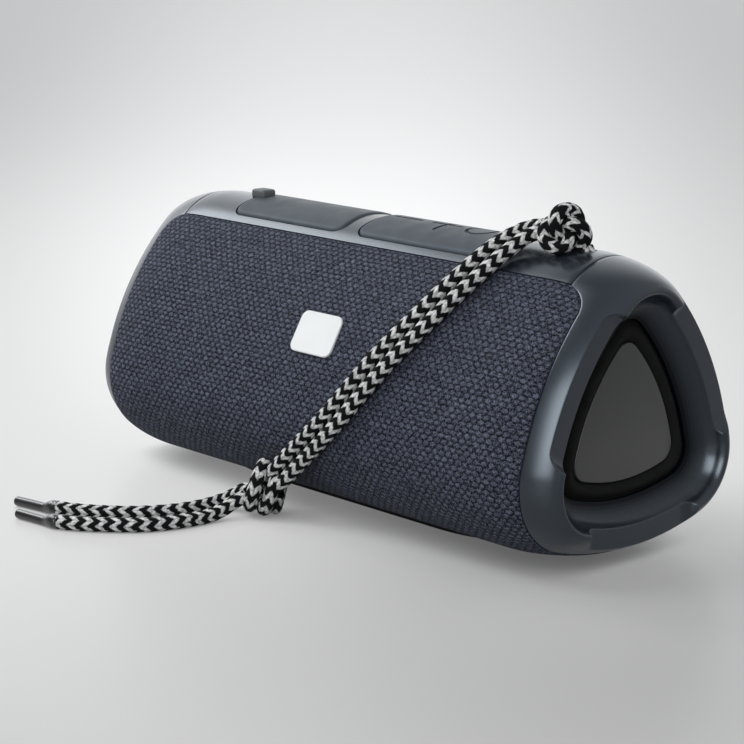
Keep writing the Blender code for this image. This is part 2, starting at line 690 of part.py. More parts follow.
def make_port_bay():
    tray = block("port_tray", TRAY_X, TRAY_HALF_Y, (TRAY_BOTTOM, TRAY_TOP), "inner_plastic")
    inside_x = (TRAY_X[0] + TRAY_WALL, TRAY_X[1] - TRAY_WALL)
    inside_z = (TRAY_BOTTOM + TRAY_WALL, TRAY_TOP + CUT_PAST)
    boolean(tray, block("tray_inside", inside_x, TRAY_HALF_Y - TRAY_WALL, inside_z))
    through = around(TRAY_BOTTOM, CUT_PAST)
    usb_x = around(USB_X, USB_HALF[0])
    boolean(tray, block("usb_slot", usb_x, USB_HALF[1], through))
    boolean(tray, cylinder("aux_hole", AUX_RADIUS, *through, (AUX_X, 0), 16))
    board_z = (PORT_BOARD_TOP - BOARD_THICKNESS, PORT_BOARD_TOP)
    block("port_board", PORT_BOARD_X, PORT_BOARD_HALF_Y, board_z, "board")
    socket_z = (PORT_BOARD_TOP + GAP, TRAY_BOTTOM - GAP)
    mouth_z = (socket_z[0] + SOCKET_FLOOR, socket_z[1] + CUT_PAST)
    usb = block("usb_socket", usb_x, USB_HALF[1], socket_z, "steel")
    mouth = block("usb_mouth", around(USB_X, USB_HALF[0] - USB_WALL), USB_HALF[1] - USB_WALL, mouth_z)
    tongue_z = (socket_z[0], socket_z[1] - SOCKET_FLOOR)
    boolean(mouth, block("usb_tongue", around(USB_X, USB_TONGUE[0]), USB_TONGUE[1], tongue_z))
    boolean(usb, mouth)
    aux = cylinder("aux_socket", AUX_RADIUS, *socket_z, (AUX_X, 0), 20, "inner_plastic")
    boolean(aux, cylinder("aux_mouth", AUX_MOUTH, *mouth_z, (AUX_X, 0), 16))


def make_port_cover():
    thickness = COVER_RISE + STRIP_THICKNESS
    cover = crest_patch("port_cover", COVER_X, PAD_HALF, PAD_CORNER, COVER_RISE, thickness, "matte_rubber")
    bevel(cover, COVER_BEVEL)
    tab = block("cover_tab", TAB_X, TAB_HALF_Y, (CREST_Z, CREST_Z + TAB_RISE))
    bevel(tab, TAB_BEVEL, 2)
    boolean(cover, tab, "UNION")
    boolean(cover, block("cover_plug", PLUG_X, PLUG_HALF_Y, (PLUG_BOTTOM, CREST_Z)), "UNION")
    hinge = bpy.data.objects.new("port_cover_hinge", None)
    PARTS.objects.link(hinge)
    hinge.location = (COVER_X[1], 0, HINGE_Z)
    cover.parent = hinge
    cover.matrix_parent_inverse = Matrix.Translation(-hinge.location)


# Keys: a rubber pad with three keys over switches on a small board
KEY_BOARD_TOP = CREST_Z - 8.8 * MM
SWITCH_TOP = CREST_Z - 6.0 * MM
PLUNGER_TOP = CREST_Z - 5.2 * MM
STEM_BOTTOM = CREST_Z - 4.5 * MM
SWITCH_HALF = 3 * MM
PLUNGER_RADIUS = 1.5 * MM
KEY_BOARD_X = (-6 * MM, 49 * MM)
KEY_BOARD_HALF_Y = 9.5 * MM
PAD_BEVEL = 0.4 * MM


def make_keypad():
    thickness = KEYPAD_RISE + STRIP_THICKNESS
    pad = crest_patch("keypad", KEYPAD_X, PAD_HALF, PAD_CORNER, KEYPAD_RISE, thickness, "matte_rubber")
    bevel(pad, PAD_BEVEL)
    windows = []
    for x in KEYS.values():
        ends = around(x, KEY_HALF_X + KEY_GAP)
        windows.append(crest_columns(ends, KEY_HALF_ARC + KEY_GAP, KEY_CORNER + KEY_GAP, CUT_PAST))
    boolean(pad, sheet("key_windows", windows, CUT_DEPTH))
    for name, x in KEYS.items():
        ends = around(x, KEY_HALF_X)
        key = crest_patch(name, ends, KEY_HALF_ARC, KEY_CORNER, KEYPAD_RISE, KEY_THICKNESS, "matte_rubber")
        boolean(key, cylinder(f"{name}_stem", STEM_RADIUS, STEM_BOTTOM, CREST_Z, (x, 0), STEM_STEPS), "UNION")
        switch_z = (KEY_BOARD_TOP + GAP, SWITCH_TOP)
        switch = block(name.replace("key", "switch"), around(x, SWITCH_HALF), SWITCH_HALF, switch_z, "steel")
        plunger_z = (KEY_BOARD_TOP + 2 * GAP, PLUNGER_TOP)
        boolean(switch, cylinder(f"{name}_plunger", PLUNGER_RADIUS, *plunger_z, (x, 0), STEM_STEPS), "UNION")
    board_z = (KEY_BOARD_TOP - BOARD_THICKNESS, KEY_BOARD_TOP)
    block("key_board", KEY_BOARD_X, KEY_BOARD_HALF_Y, board_z, "board")


# Power and electronics inside
BOARD_OUT = 27.6 * MM
BOARD_HALF = (52 * MM, 13 * MM)
CHIPS = ((-30 * MM, 7 * MM), (2 * MM, 9 * MM), (33 * MM, 6 * MM))
CHIP_HEIGHTS = (BOARD_OUT - 4 * MM, BOARD_OUT - 1 * MM)
CELL_RADIUS = 9.2 * MM
CELL_LENGTH = 64 * MM
CELL_CENTRE = (13.6 * MM, -20.6 * MM)
CELL_BUTTON = (2.8 * MM, 1.2 * MM)
CELL_CHAMFER = 0.8 * MM
CRADLE_WALL = 1.3 * MM
CRADLE_ARC = (205, 335)
CRADLE_STEPS = 10


def arc_points(radius, ends, steps):
    """Points of an arc between two angles in degrees."""
    turns = [math.radians(ends[0] + (ends[1] - ends[0]) * i / steps) for i in range(steps + 1)]
    return [(radius * math.cos(a), radius * math.sin(a)) for a in turns]


def make_electronics():
    board_z = (BOARD_OUT - BOARD_THICKNESS, BOARD_OUT)
    board = on_back(block("main_board", around(0, BOARD_HALF[0]), BOARD_HALF[1], board_z, "board"))
    for i, (x, half) in enumerate(CHIPS):
        boolean(board, on_back(block(f"chip_{i}", around(x, half), half, CHIP_HEIGHTS)), "UNION")
    button_radius, button_height = CELL_BUTTON
    top = CELL_LENGTH / 2
    shoulder = top - button_height
    profile = [(0, top), (button_radius, top), (button_radius, shoulder),
               (CELL_RADIUS - CELL_CHAMFER, shoulder), (CELL_RADIUS, shoulder - CELL_CHAMFER),
               (CELL_RADIUS, -top), (0, -top)]
    for side, word in ((-1, "left"), (1, "right")):
        cell = turned(f"{word}_battery_cell", profile, "cell_wrap", 16)
        cell.rotation_euler = Euler((0, math.radians(90), 0))
        cell.location = (side * (top + GAP), CELL_CENTRE[0], CENTRE_Z + CELL_CENTRE[1])
    inner = CELL_RADIUS + GAP
    trough = arc_points(inner + CRADLE_WALL, CRADLE_ARC, CRADLE_STEPS)
    trough += reversed(arc_points(inner, CRADLE_ARC, CRADLE_STEPS))
    cradle = across_body(plate("battery_cradle", (trough,), 2 * CELL_LENGTH, "inner_plastic"), 0)
    cradle.location += Vector((0, *CELL_CENTRE))


# Badge and feet
BADGE_HALF = (8.7 * MM, 6.4 * MM)
BADGE_CORNER = 2.4 * MM
BADGE_THICKNESS = 0.9 * MM
BADGE_BEVEL = 0.25 * MM
BADGE_X = 2.5 * MM
BADGE_DROP = 3.7 * MM
FOOT_LENGTH = 120 * MM
FOOT_TURNS = (11.6, 9.3, 7.0)


def make_trim():
    over_fabric = FABRIC_FACE + GAP
    face = rounded_rectangle(*BADGE_HALF, BADGE_CORNER)
    badge = plate("front_badge", (face,), BADGE_THICKNESS, "white_plastic")
    weld(badge)
    bevel(badge, BADGE_BEVEL)
    on_front(badge, BADGE_X, BADGE_DROP)
    out = SIDE_RADIUS - side_centre(BODY_SHAPE) + over_fabric + BADGE_THICKNESS / 2
    badge.location += FRONT_TURN @ Vector((0, 0, out))
    for word, sign in (("front", -1), ("rear", 1)):
        top = [outline_point(270 + sign * turn, over_fabric) for turn in FOOT_TURNS]
        profile = top + [(top[-1][0], -CENTRE_Z), (top[0][0], -CENTRE_Z)]
        across_body(plate(f"{word}_foot", (profile,), FOOT_LENGTH, "black_rubber"), 0)


# Lanyard: anchor block with a round tunnel, loop, knots, strands, tails and tips
def make_tunnel():
    """The ring-shaped path of the lanyard's loop, as a cutter."""
    bpy.ops.mesh.primitive_torus_add(
        major_radius=LOOP_RADIUS, minor_radius=TUNNEL_RADIUS, major_segments=20, minor_segments=8,
        location=(LOOP_X, 0, CREST_Z - LOOP_DEPTH), rotation=(math.radians(90), 0, 0))
    torus = bpy.context.object
    mesh = torus.data
    tunnel = add_object("lanyard_tunnel", mesh)
    tunnel.matrix_world = torus.matrix_world.copy()
    bpy.data.objects.remove(torus)
    return tunnel


TUNNEL = make_tunnel()


def smooth_route(points, step):
    """Points a step apart on a smooth curve through the route's own points."""
    fine = []
    padded = [points[0] * 2 - points[1], *points, points[-1] * 2 - points[-2]]
    for before, start, end, after in zip(padded, padded[1:], padded[2:], padded[3:]):
        bend = 2 * before - 5 * start + 4 * end - after
        twist = 3 * start - before - 3 * end + after
        for i in range(FINE_STEPS):
            t = i / FINE_STEPS
            fine.append(start + ((end - before) * t + bend * t**2 + twist * t**3) / 2)
    fine.append(points[-1])
    lengths = [0.0]
    for a, b in zip(fine, fine[1:]):
        lengths.append(lengths[-1] + (b - a).length)
    count = max(2, round(lengths[-1] / step))
    wanted = [lengths[-1] * i / count for i in range(count + 1)]
    spaced = []
    k = 0
    for distance in wanted:
        while k < len(fine) - 2 and lengths[k + 1] < distance:
            k += 1
        share = (distance - lengths[k]) / (lengths[k + 1] - lengths[k])
        spaced.append(fine[k].lerp(fine[k + 1], min(1.0, share)))
    return spaced


def tube(name, points, radius, kind):
    curve = bpy.data.curves.new(name, "CURVE")
    curve.dimensions = "3D"
    curve.bevel_depth = radius
    curve.bevel_resolution = 2
    curve.use_fill_caps = True
    spline = curve.splines.new("POLY")
    spline.points.add(len(points) - 1)
    for point, place in zip(spline.points, points):
        point.co = (*place, 1)
    return add_object(name, curve, kind)


def make_knot(name, centre, half):
    """A lump of wound cord: an ellipsoid along X with a groove that winds round it."""
    bm = bmesh.new()
    upright = Matrix.Rotation(math.radians(90), 4, "Y")
    around_steps, along_steps = KNOT_STEPS
    bmesh.ops.create_uvsphere(bm, u_segments=around_steps, v_segments=along_steps, radius=1, matrix=upright)
    for vert in bm.verts:
        winding = math.atan2(vert.co.z, vert.co.y) + math.pi * KNOT_TURNS * vert.co.x
        inset = 1 - KNOT_GROOVE * (1 - math.cos(winding)) / 2
        vert.co.yz = vert.co.yz * inset
        vert.co = (Vector(centre) + vert.co * Vector(half)) * MM
    add_object(name, mesh_from(bm, name), "braid")


def make_aglet(name, tail, swing):
    """A tip that lies on the floor, turned by its swing from the tail's last direction."""
    before, end = [Vector(point) * MM for point in TAIL_ROUTES[tail][-2:]]
    heading = Matrix.Rotation(-math.radians(swing), 3, "Z") @ (end - before).normalized()
    start = end + heading * (GAP + AGLET_RADIUS * math.sin(math.radians(swing)))
    start.z = AGLET_RADIUS
    tube(name, [start, start + heading * AGLET_LENGTH], AGLET_RADIUS, "aglet")


def make_lanyard():
    anchor_z = [CREST_Z - depth for depth in ANCHOR_DEPTHS]
    anchor = block("lanyard_anchor", around(LOOP_X, ANCHOR_HALF_X), ANCHOR_HALF_Y, anchor_z, "inner_plastic")
    boolean(anchor, TUNNEL)
    turns = [LOOP_END - (math.pi + 2 * LOOP_END) * i / LOOP_STEPS for i in range(LOOP_STEPS + 1)]
    middle = Vector((LOOP_X, 0, CREST_Z - LOOP_DEPTH))
    loop = [middle + LOOP_RADIUS * Vector((math.cos(a), 0, math.sin(a))) for a in turns]
    tube("lanyard_loop", loop, CORD_RADIUS, "braid")
    for name, route in {**STRAND_ROUTES, **TAIL_ROUTES}.items():
        points = smooth_route([Vector(point) * MM for point in route], CORD_STEP)
        tube(name, points, CORD_RADIUS, "braid")
    for name, (centre, half) in KNOTS.items():
        make_knot(name, centre, half)
    for name, (tail, swing) in AGLETS.items():
        make_aglet(name, tail, swing)


def main():
    make_enclosure()
    make_fabric()
    make_top_strip()
    for side, word in ((-1, "left"), (1, "right")):
        make_end_cap(side, word)
        make_radiator(side, word)
        make_driver(side * DRIVER_X, word)
    make_port_bay()
    make_port_cover()
    make_keypad()
    make_electronics()
    make_trim()
    make_lanyard()


main()
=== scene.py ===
"""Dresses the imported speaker: shells, woven fabric, rubber pads, braided lanyard, light and camera."""

import json
import math

import bmesh
import bpy
import numpy as np
from mathutils import Matrix, Vector


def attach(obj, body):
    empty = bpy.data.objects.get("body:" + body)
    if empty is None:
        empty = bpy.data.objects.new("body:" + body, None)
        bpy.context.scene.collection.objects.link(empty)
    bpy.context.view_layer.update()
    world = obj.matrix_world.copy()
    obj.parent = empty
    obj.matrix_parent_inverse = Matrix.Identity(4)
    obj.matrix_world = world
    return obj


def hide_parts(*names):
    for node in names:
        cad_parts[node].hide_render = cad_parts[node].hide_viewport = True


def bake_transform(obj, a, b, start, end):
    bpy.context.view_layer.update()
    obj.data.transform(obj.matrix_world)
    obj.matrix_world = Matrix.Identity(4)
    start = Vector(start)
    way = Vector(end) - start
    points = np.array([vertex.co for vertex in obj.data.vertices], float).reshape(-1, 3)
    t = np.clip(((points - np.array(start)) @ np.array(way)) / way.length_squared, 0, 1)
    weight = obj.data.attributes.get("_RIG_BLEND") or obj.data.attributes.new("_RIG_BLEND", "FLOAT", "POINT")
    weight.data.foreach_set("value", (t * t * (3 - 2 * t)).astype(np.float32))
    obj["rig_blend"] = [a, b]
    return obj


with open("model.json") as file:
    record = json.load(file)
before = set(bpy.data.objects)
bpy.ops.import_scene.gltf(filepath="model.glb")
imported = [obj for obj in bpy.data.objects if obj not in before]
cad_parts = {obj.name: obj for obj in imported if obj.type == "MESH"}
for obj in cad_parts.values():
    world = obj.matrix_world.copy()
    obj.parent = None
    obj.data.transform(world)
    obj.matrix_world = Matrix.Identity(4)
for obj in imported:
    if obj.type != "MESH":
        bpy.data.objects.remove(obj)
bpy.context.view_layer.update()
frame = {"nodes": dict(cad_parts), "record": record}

MM = 0.001

# Body section, with the same driving sizes as the solids; angles are in degrees from +Y
CORNER_CENTRE = 22.5 * MM
CORNER_RADIUS = 23.7 * MM
SIDE_RADIUS = 91.4 * MM
FOOT_DROP = 1.0 * MM
HALF_LENGTH = 100 * MM
ROLL_START = 74.5 * MM
ROLL_DEPTH = 9.4 * MM
SEAM_X = 83.6 * MM
FABRIC_EDGE_X = 90 * MM
FABRIC_CORNER = 8 * MM
BODY_SHAPE = (CORNER_CENTRE, CORNER_RADIUS, SIDE_RADIUS)
PLATE_SHAPE = (17.5 * MM, 5.2 * MM, 60 * MM)
CREST = 90
BASE = 270
SIDE_MIDDLES = (150, 270, 390)
SPLINE_STEPS = 40


def side_centre(shape):
    """Distance from the section's centre to the centre of a side's arc."""
    corner, radius, side = shape
    return math.sqrt((side - radius) ** 2 - 0.75 * corner**2) - corner / 2


def side_half_angle(shape):
    """Half of the angle that a side's arc turns through, in degrees."""
    corner = shape[0]
    return math.degrees(math.atan2(corner * math.sin(math.radians(60)), side_centre(shape) + corner / 2))


SIDE_HALF = side_half_angle(BODY_SHAPE)
CREST_HALF = 60 - SIDE_HALF
CENTRE_Z = SIDE_RADIUS - side_centre(BODY_SHAPE) + FOOT_DROP
CREST_Z = CENTRE_Z + CORNER_CENTRE + CORNER_RADIUS


def outline(angle, offset, shape=BODY_SHAPE):
    """(y, z) arrays of the outline's points with these normal angles, moved out by offset."""
    corner, radius, side = shape
    angle, offset = np.broadcast_arrays(np.asarray(angle, float), np.asarray(offset, float))
    nearest = CREST + 120 * np.round((angle - CREST) / 120)
    away = angle - nearest
    at_corner = np.abs(away) <= 60 - side_half_angle(shape)
    reach = np.where(at_corner, corner, -side_centre(shape))
    bend = np.where(at_corner, radius, side)
    middle = np.radians(np.where(at_corner, nearest, nearest + 60 * np.sign(away)))
    normal = np.radians(angle)
    y = reach * np.cos(middle) + (bend + offset) * np.cos(normal)
    z = reach * np.sin(middle) + (bend + offset) * np.sin(normal)
    return y, z


def roll(x):
    """How far the surface draws in at this X, where the ends roll over."""
    along = np.clip((np.abs(x) - ROLL_START) / (HALF_LENGTH - ROLL_START), 0, 1)
    return -ROLL_DEPTH * (1 - np.sqrt(1 - along**2))


def body_points(x, angle, offset):
    """Points at this distance out from the rolled plastic surface; the three broadcast together."""
    x, angle, offset = np.broadcast_arrays(x, angle, offset)
    y, z = outline(angle, offset + roll(x))
    return np.stack([x, y, CENTRE_Z + z], -1)


def cap_edge(angle):
    """X of an end cap's visible edge at each outline angle."""
    from_crest = np.abs((np.asarray(angle, float) + 90) % 360 - 180)
    below = np.radians(from_crest - CREST_HALF) * SIDE_RADIUS
    short = FABRIC_CORNER - np.clip(below, 0, FABRIC_CORNER)
    across = np.sqrt(np.clip(FABRIC_CORNER**2 - short**2, 0, None))
    curved = np.maximum(SEAM_X, FABRIC_EDGE_X - FABRIC_CORNER + across)
    return np.where(below < 0, SEAM_X, curved)


def ring_angles(corner_steps, side_steps):
    """Outline angles once round, starting at the crest strip's front edge."""
    angles = []
    for middle in SIDE_MIDDLES:
        angles += list(np.linspace(middle - SIDE_HALF, middle + SIDE_HALF, side_steps, endpoint=False))
        angles += list(np.linspace(middle + SIDE_HALF, middle + 120 - SIDE_HALF, corner_steps, endpoint=False))
    return np.array(angles)


# Lines
def ease(share):
    """A smooth step from 0 to 1."""
    return share * share * (3 - 2 * share)


def steps_along(line):
    return np.linalg.norm(np.diff(line, axis=0), axis=1)


def distances_along(line):
    return np.concatenate([[0], np.cumsum(steps_along(line))])


def spline(points, count):
    """A smooth curve through the points, sampled evenly along its length."""
    points = np.asarray(points, float)
    padded = np.vstack([2 * points[0] - points[1], points, 2 * points[-1] - points[-2]])
    t = np.linspace(0, 1, SPLINE_STEPS, endpoint=False)[:, None]
    fine = []
    for before, start, end, after in zip(padded, padded[1:], padded[2:], padded[3:]):
        fine.append(0.5 * (2 * start + (end - before) * t + (2 * before - 5 * start + 4 * end - after) * t**2
                           + (3 * start - before - 3 * end + after) * t**3))
    fine = np.vstack(fine + [points[-1:]])
    along = distances_along(fine)
    wanted = np.linspace(0, along[-1], count)
    return np.stack([np.interp(wanted, along, fine[:, k]) for k in range(points.shape[1])], -1)


# Meshes
def add_object(name, data):
    obj = bpy.data.objects.new(name, data)
    bpy.context.scene.collection.objects.link(obj)
    return obj


def face_out(mesh):
    """Turns a closed mesh's faces outwards."""
    bm = bmesh.new()
    bm.from_mesh(mesh)
    bmesh.ops.recalc_face_normals(bm, faces=bm.faces)
    bm.to_mesh(mesh)
    bm.free()


def grid_object(name, points, wrap_rows=False, wrap_columns=False, caps=False, uv=None):
    """A mesh through a grid of points, which may wrap round; caps close its first and last row."""
    rows, columns = points.shape[:2]
    index = np.arange(rows * columns).reshape(rows, columns)
    lower = index if wrap_rows else index[:-1]
    upper = np.roll(index, -1, 0) if wrap_rows else index[1:]

    def sides(block):
        return (block, np.roll(block, -1, 1)) if wrap_columns else (block[:, :-1], block[:, 1:])

    a, b = sides(lower)
    d, c = sides(upper)
    faces = np.stack([a, b, c, d], -1).reshape(-1, 4).tolist()
    if caps:
        faces += [index[0][::-1].tolist(), index[-1].tolist()]
    mesh = bpy.data.meshes.new(name)
    mesh.from_pydata(points.reshape(-1, 3), [], faces)
    if uv is not None:
        layer = mesh.uv_layers.new(name="pattern")
        i, j = np.indices(a.shape)
        corners = np.stack([uv[i, j], uv[i, j + 1], uv[i + 1, j + 1], uv[i + 1, j]], 2).reshape(-1, 2)
        flat = np.zeros((len(mesh.loops), 2), np.float32)
        flat[: len(corners)] = corners
        layer.data.foreach_set("uv", flat.ravel())
    if wrap_columns and (wrap_rows or caps):
        face_out(mesh)
    return add_object(name, mesh)


def bar_object(name, rows):
    """A closed bar through rows of points, each a loop across it."""
    return grid_object(name, np.array(rows), wrap_columns=True, caps=True)


def ring_object(name, rows):
    """A closed ring through rows of points, each a loop round its hole."""
    return grid_object(name, np.array(rows), wrap_rows=True, wrap_columns=True)


def smooth(obj, angle):
    """Shades smoothly, apart from edges sharper than this angle."""
    obj.data.shade_smooth()
    obj.data.set_sharp_from_angle(angle=math.radians(angle))
    return obj


def cut(obj, cutter):
    """Cuts a solid out of the object's mesh and deletes it."""
    modifier = obj.modifiers.new("cut", "BOOLEAN")
    modifier.operation = "DIFFERENCE"
    modifier.object = cutter
    bpy.context.view_layer.update()
    graph = bpy.context.evaluated_depsgraph_get()
    mesh = bpy.data.meshes.new_from_object(obj.evaluated_get(graph))
    obj.modifiers.clear()
    obj.data = mesh
    bpy.data.objects.remove(cutter, do_unlink=True)


# Materials
class Nodes:
    """A node tree with short calls for its nodes."""

    def __init__(self, tree):
        self.tree = tree

    def put(self, socket, value):
        """Links an output to a socket, or sets the socket's own value."""
        if isinstance(value, bpy.types.NodeSocket):
            self.tree.links.new(value, socket)
        else:
            socket.default_value = value

    def node(self, kind, *values, **settings):
        """A new node with these settings, and with these values in its first sockets."""
        node = self.tree.nodes.new(kind)
        for key, value in settings.items():
            setattr(node, key, value)
        for socket, value in zip(node.inputs, values):
            self.put(socket, value)
        return node

    def math(self, operation, first, second=0.0):
        return self.node("ShaderNodeMath", first, second, operation=operation).outputs[0]

    def apart(self, first, second):
        """The vector to the first point from the second."""
        return self.node("ShaderNodeVectorMath", first, second, operation="SUBTRACT").outputs["Vector"]

    def measure(self, operation, first, second):
        """A number from two vectors, such as their dot product."""
        return self.node("ShaderNodeVectorMath", first, second, operation=operation).outputs["Value"]

    def plus(self, first, second):
        return self.math("ADD", first, second)

    def minus(self, first, second):
        return self.math("SUBTRACT", first, second)

    def times(self, first, second):
        return self.math("MULTIPLY", first, second)

    def over(self, first, second):
        return self.math("DIVIDE", first, second)

    def remap(self, value, low, high, to_low=0.0, to_high=1.0, kind="SMOOTHSTEP"):
        node = self.node("ShaderNodeMapRange", value, low, high, to_low, to_high, interpolation_type=kind)
        return node.outputs["Result"]

    def mix(self, factor, first, second):
        """A colour between two, each an output or three numbers."""
        node = self.node("ShaderNodeMix", factor, data_type="RGBA")
        for socket, value in zip(node.inputs[6:8], (first, second)):
            self.put(socket, value if isinstance(value, bpy.types.NodeSocket) else (*value, 1))
        return node.outputs[2]

    def choose(self, factor, first, second):
        """A number between two."""
        node = self.node("ShaderNodeMix", factor, data_type="FLOAT")
        for socket, value in zip(node.inputs[2:4], (first, second)):
            self.put(socket, value)
        return node.outputs[0]


class Shader(Nodes):
    """A Principled material."""

    def __init__(self, name, colour, **sockets):
        self.material = bpy.data.materials.new(name)
        self.material.use_nodes = True
        super().__init__(self.material.node_tree)
        self.principled = self.tree.nodes["Principled BSDF"]
        self.set("Base Color", (*colour, 1))
        for socket, value in sockets.items():
            self.set(socket.replace("_", " ").title().replace("Ior", "IOR"), value)

    def set(self, socket, value):
        self.put(self.principled.inputs[socket], value)

    def noise(self, scale, detail):
        node = self.node("ShaderNodeTexNoise", self.place())
        self.put(node.inputs["Scale"], scale)
        self.put(node.inputs["Detail"], detail)
        return node.outputs["Fac"]

    def place(self):
        return self.node("ShaderNodeTexCoord").outputs["Object"]

    def split(self, vector):
        """The X, Y and Z outputs of a vector."""
        return self.node("ShaderNodeSeparateXYZ", vector).outputs

    def uv(self):
        """(u, v) outputs of the piece's pattern coordinates."""
        return self.split(self.node("ShaderNodeUVMap", uv_map="pattern").outputs["UV"])[:2]

    def bump(self, height, distance, strength=1.0):
        node = self.node("ShaderNodeBump", strength, distance)
        self.put(node.inputs["Height"], height)
        self.set("Normal", node.outputs["Normal"])


MOTTLE_SCALE = 60
GLOSS_SCALE = 180


def moulded(name, colour, roughness, grain=2600, depth=0.02 * MM, spread=0.12, uneven=0.1, **sockets):
    """Moulded plastic or rubber: fine grain, faint mottling and a little uneven gloss."""
    shader = Shader(name, colour, roughness=roughness, **sockets)
    dark, light = [tuple(c * level for c in colour) for level in (1 - spread, 1 + spread)]
    shader.set("Base Color", shader.mix(shader.remap(shader.noise(MOTTLE_SCALE, 4), 0.3, 0.7), dark, light))
    limits = (roughness * (1 - uneven), roughness * (1 + uneven))
    shader.set("Roughness", shader.remap(shader.noise(GLOSS_SCALE, 1), 0.25, 0.75, *limits, "LINEAR"))
    if depth:
        shader.bump(shader.noise(grain, 2), depth)
    return shader.material


WEAVE_PITCH = 2.62 * MM
WEAVE_ROW = 1.5 * MM
WEAVE_SQUEEZE = 0.7
WEAVE_WANDER = 0.6 * MM
WEAVE_HEIGHT = 0.45 * MM
WANDER_SCALE = 560
FUZZ_SCALE = 2300
FUZZ_HEIGHT = 0.25
# How far the painted shade leans below each bump
SHADE_BELOW = 0.22
RAGGED_EDGE = 0.36
PALE_BY_CHANCE = 0.25
PALE_BY_FUZZ = 0.65


def woven():
    """Speaker fabric: oval bumps nested in rows half a pitch apart, painted lighter on top and darker under each
    bump, where the dark is partly the real gaps between yarns and partly painted shadow.
    """
    gap_and_shadow, yarn, pale = (0.002, 0.002, 0.005), (0.0125, 0.017, 0.031), (0.157, 0.177, 0.240)
    shader = Shader("woven_fabric", yarn, roughness=0.8, specular_ior_level=0.2)
    u, v = shader.uv()
    wander = shader.times(shader.minus(shader.noise(WANDER_SCALE, 2), 0.5), WEAVE_WANDER)
    across = shader.over(shader.plus(u, wander), WEAVE_PITCH)
    down = shader.over(shader.minus(v, wander), 2 * WEAVE_ROW)
    lattices = []
    for shift in (0.0, 0.5):
        x, y = shader.plus(across, shift), shader.plus(down, shift)
        dx = shader.times(shader.minus(shader.math("FRACT", x), 0.5), WEAVE_SQUEEZE * WEAVE_PITCH / WEAVE_ROW)
        dy = shader.times(shader.minus(shader.math("FRACT", y), 0.5), 2.0)
        away = shader.math("SQRT", shader.plus(shader.times(dx, dx), shader.times(dy, dy)))
        cell = shader.node("ShaderNodeCombineXYZ", shader.math("FLOOR", x), shader.math("FLOOR", y), shift)
        chance = shader.node("ShaderNodeTexWhiteNoise", cell.outputs[0], noise_dimensions="3D")
        lattices.append((away, dy, chance.outputs["Value"]))
    second = shader.math("LESS_THAN", lattices[1][0], lattices[0][0])
    away, below, chance = (shader.choose(second, one, other) for one, other in zip(*lattices))
    fuzz = shader.remap(shader.noise(FUZZ_SCALE, 2), 0.40, 0.62)
    # Painted shade: darker away from a bump's middle, and more so below it
    shade = shader.plus(away, shader.times(below, SHADE_BELOW))
    edge = shader.plus(shade, shader.times(shader.minus(0.5, fuzz), RAGGED_EDGE))
    lift = shader.plus(shader.times(chance, PALE_BY_CHANCE), shader.times(fuzz, PALE_BY_FUZZ))
    # Painted shade on the threads: pale at each bump's top, dark towards its lower rim
    thread = shader.mix(shader.times(lift, shader.remap(shade, 0.0, 0.8, 1.0, 0.25)), yarn, pale)
    # Dark colour of the real gaps between yarns, spread as painted shadow under each bump
    shader.set("Base Color", shader.mix(shader.remap(edge, 0.40, 0.68), thread, gap_and_shadow))
    dome = shader.remap(away, 0.05, 0.72, 1.0, 0.0)
    shader.bump(shader.plus(dome, shader.times(fuzz, FUZZ_HEIGHT)), WEAVE_HEIGHT)
    return shader.material


BRAID_PITCH = 4.05
BRAID_COLUMNS = 8
BRAID_SLANT = 0.46
BRAID_EDGE = 0.07
BRAID_JITTER = 0.36
BRAID_HAIR = 0.18 * MM
BRAID_RELIEF = (0.90, 0.07, 0.05)
JITTER_SCALE = 850
FLUFF_SCALE = 1250
HAIR_SCALE = 3200


def braided(name, share):
    """Herringbone braid: plump yarns in zigzag rings round the cord, with this share of them white, and the white
    painted darker at each yarn's edges and in the grooves between columns as painted shade.
    """
    black, white, painted_shade_white = (0.004, 0.004, 0.005), (0.76, 0.76, 0.74), (0.20, 0.20, 0.19)
    shader = Shader(name, white, roughness=0.9, specular_ior_level=0.12)
    u, v = shader.uv()
    column = shader.times(u, BRAID_COLUMNS)
    within = shader.minus(shader.math("FRACT", column), 0.5)
    odd = shader.math("MODULO", shader.math("FLOOR", column), 2)
    sign = shader.minus(1.0, shader.times(odd, 2))
    tilt = shader.times(shader.times(within, sign), BRAID_SLANT)
    jitter = shader.times(shader.minus(shader.noise(JITTER_SCALE, 3), 0.5), BRAID_JITTER)
    along = shader.plus(shader.plus(shader.over(v, BRAID_PITCH), tilt), jitter)
    phase = shader.math("FRACT", along)
    begins = shader.remap(phase, 0.0, BRAID_EDGE)
    band = shader.times(begins, shader.remap(phase, share, share + BRAID_EDGE, 1.0, 0.0))
    off_middle = shader.math("ABSOLUTE", shader.minus(phase, share / 2 + BRAID_EDGE / 2))
    # Painted shade: each white yarn lighter in its middle, darker towards its edges
    plump = shader.remap(off_middle, 0.06, share / 2 + 0.05, 1.0, 0.5)
    # Painted shade in the grooves between the braid's columns
    groove_painted_shade = shader.remap(shader.math("ABSOLUTE", within), 0.28, 0.5, 1.0, 0.55)
    fluff = shader.remap(shader.noise(FLUFF_SCALE, 3), 0.34, 0.60, 0.36, 1.0)
    level = shader.times(shader.times(plump, groove_painted_shade), fluff)
    shader.set("Base Color", shader.mix(band, black, shader.mix(level, painted_shade_white, white)))
    shader.bump(shader.noise(HAIR_SCALE, 3), BRAID_HAIR, 0.9)
    return shader.material


# Painted reflection on the radiator plate: the heights where it turns from pale to dark, and how its edge wanders
PAINTED_REFLECTION_HEIGHTS = (22 * MM, 62 * MM)
PAINTED_REFLECTION_WANDER = 8 * MM
PAINTED_REFLECTION_SCALE = 45
SMUDGE_SCALE = 300
POLISH_SCALE = 1800
POLISH_DEPTH = 0.004 * MM


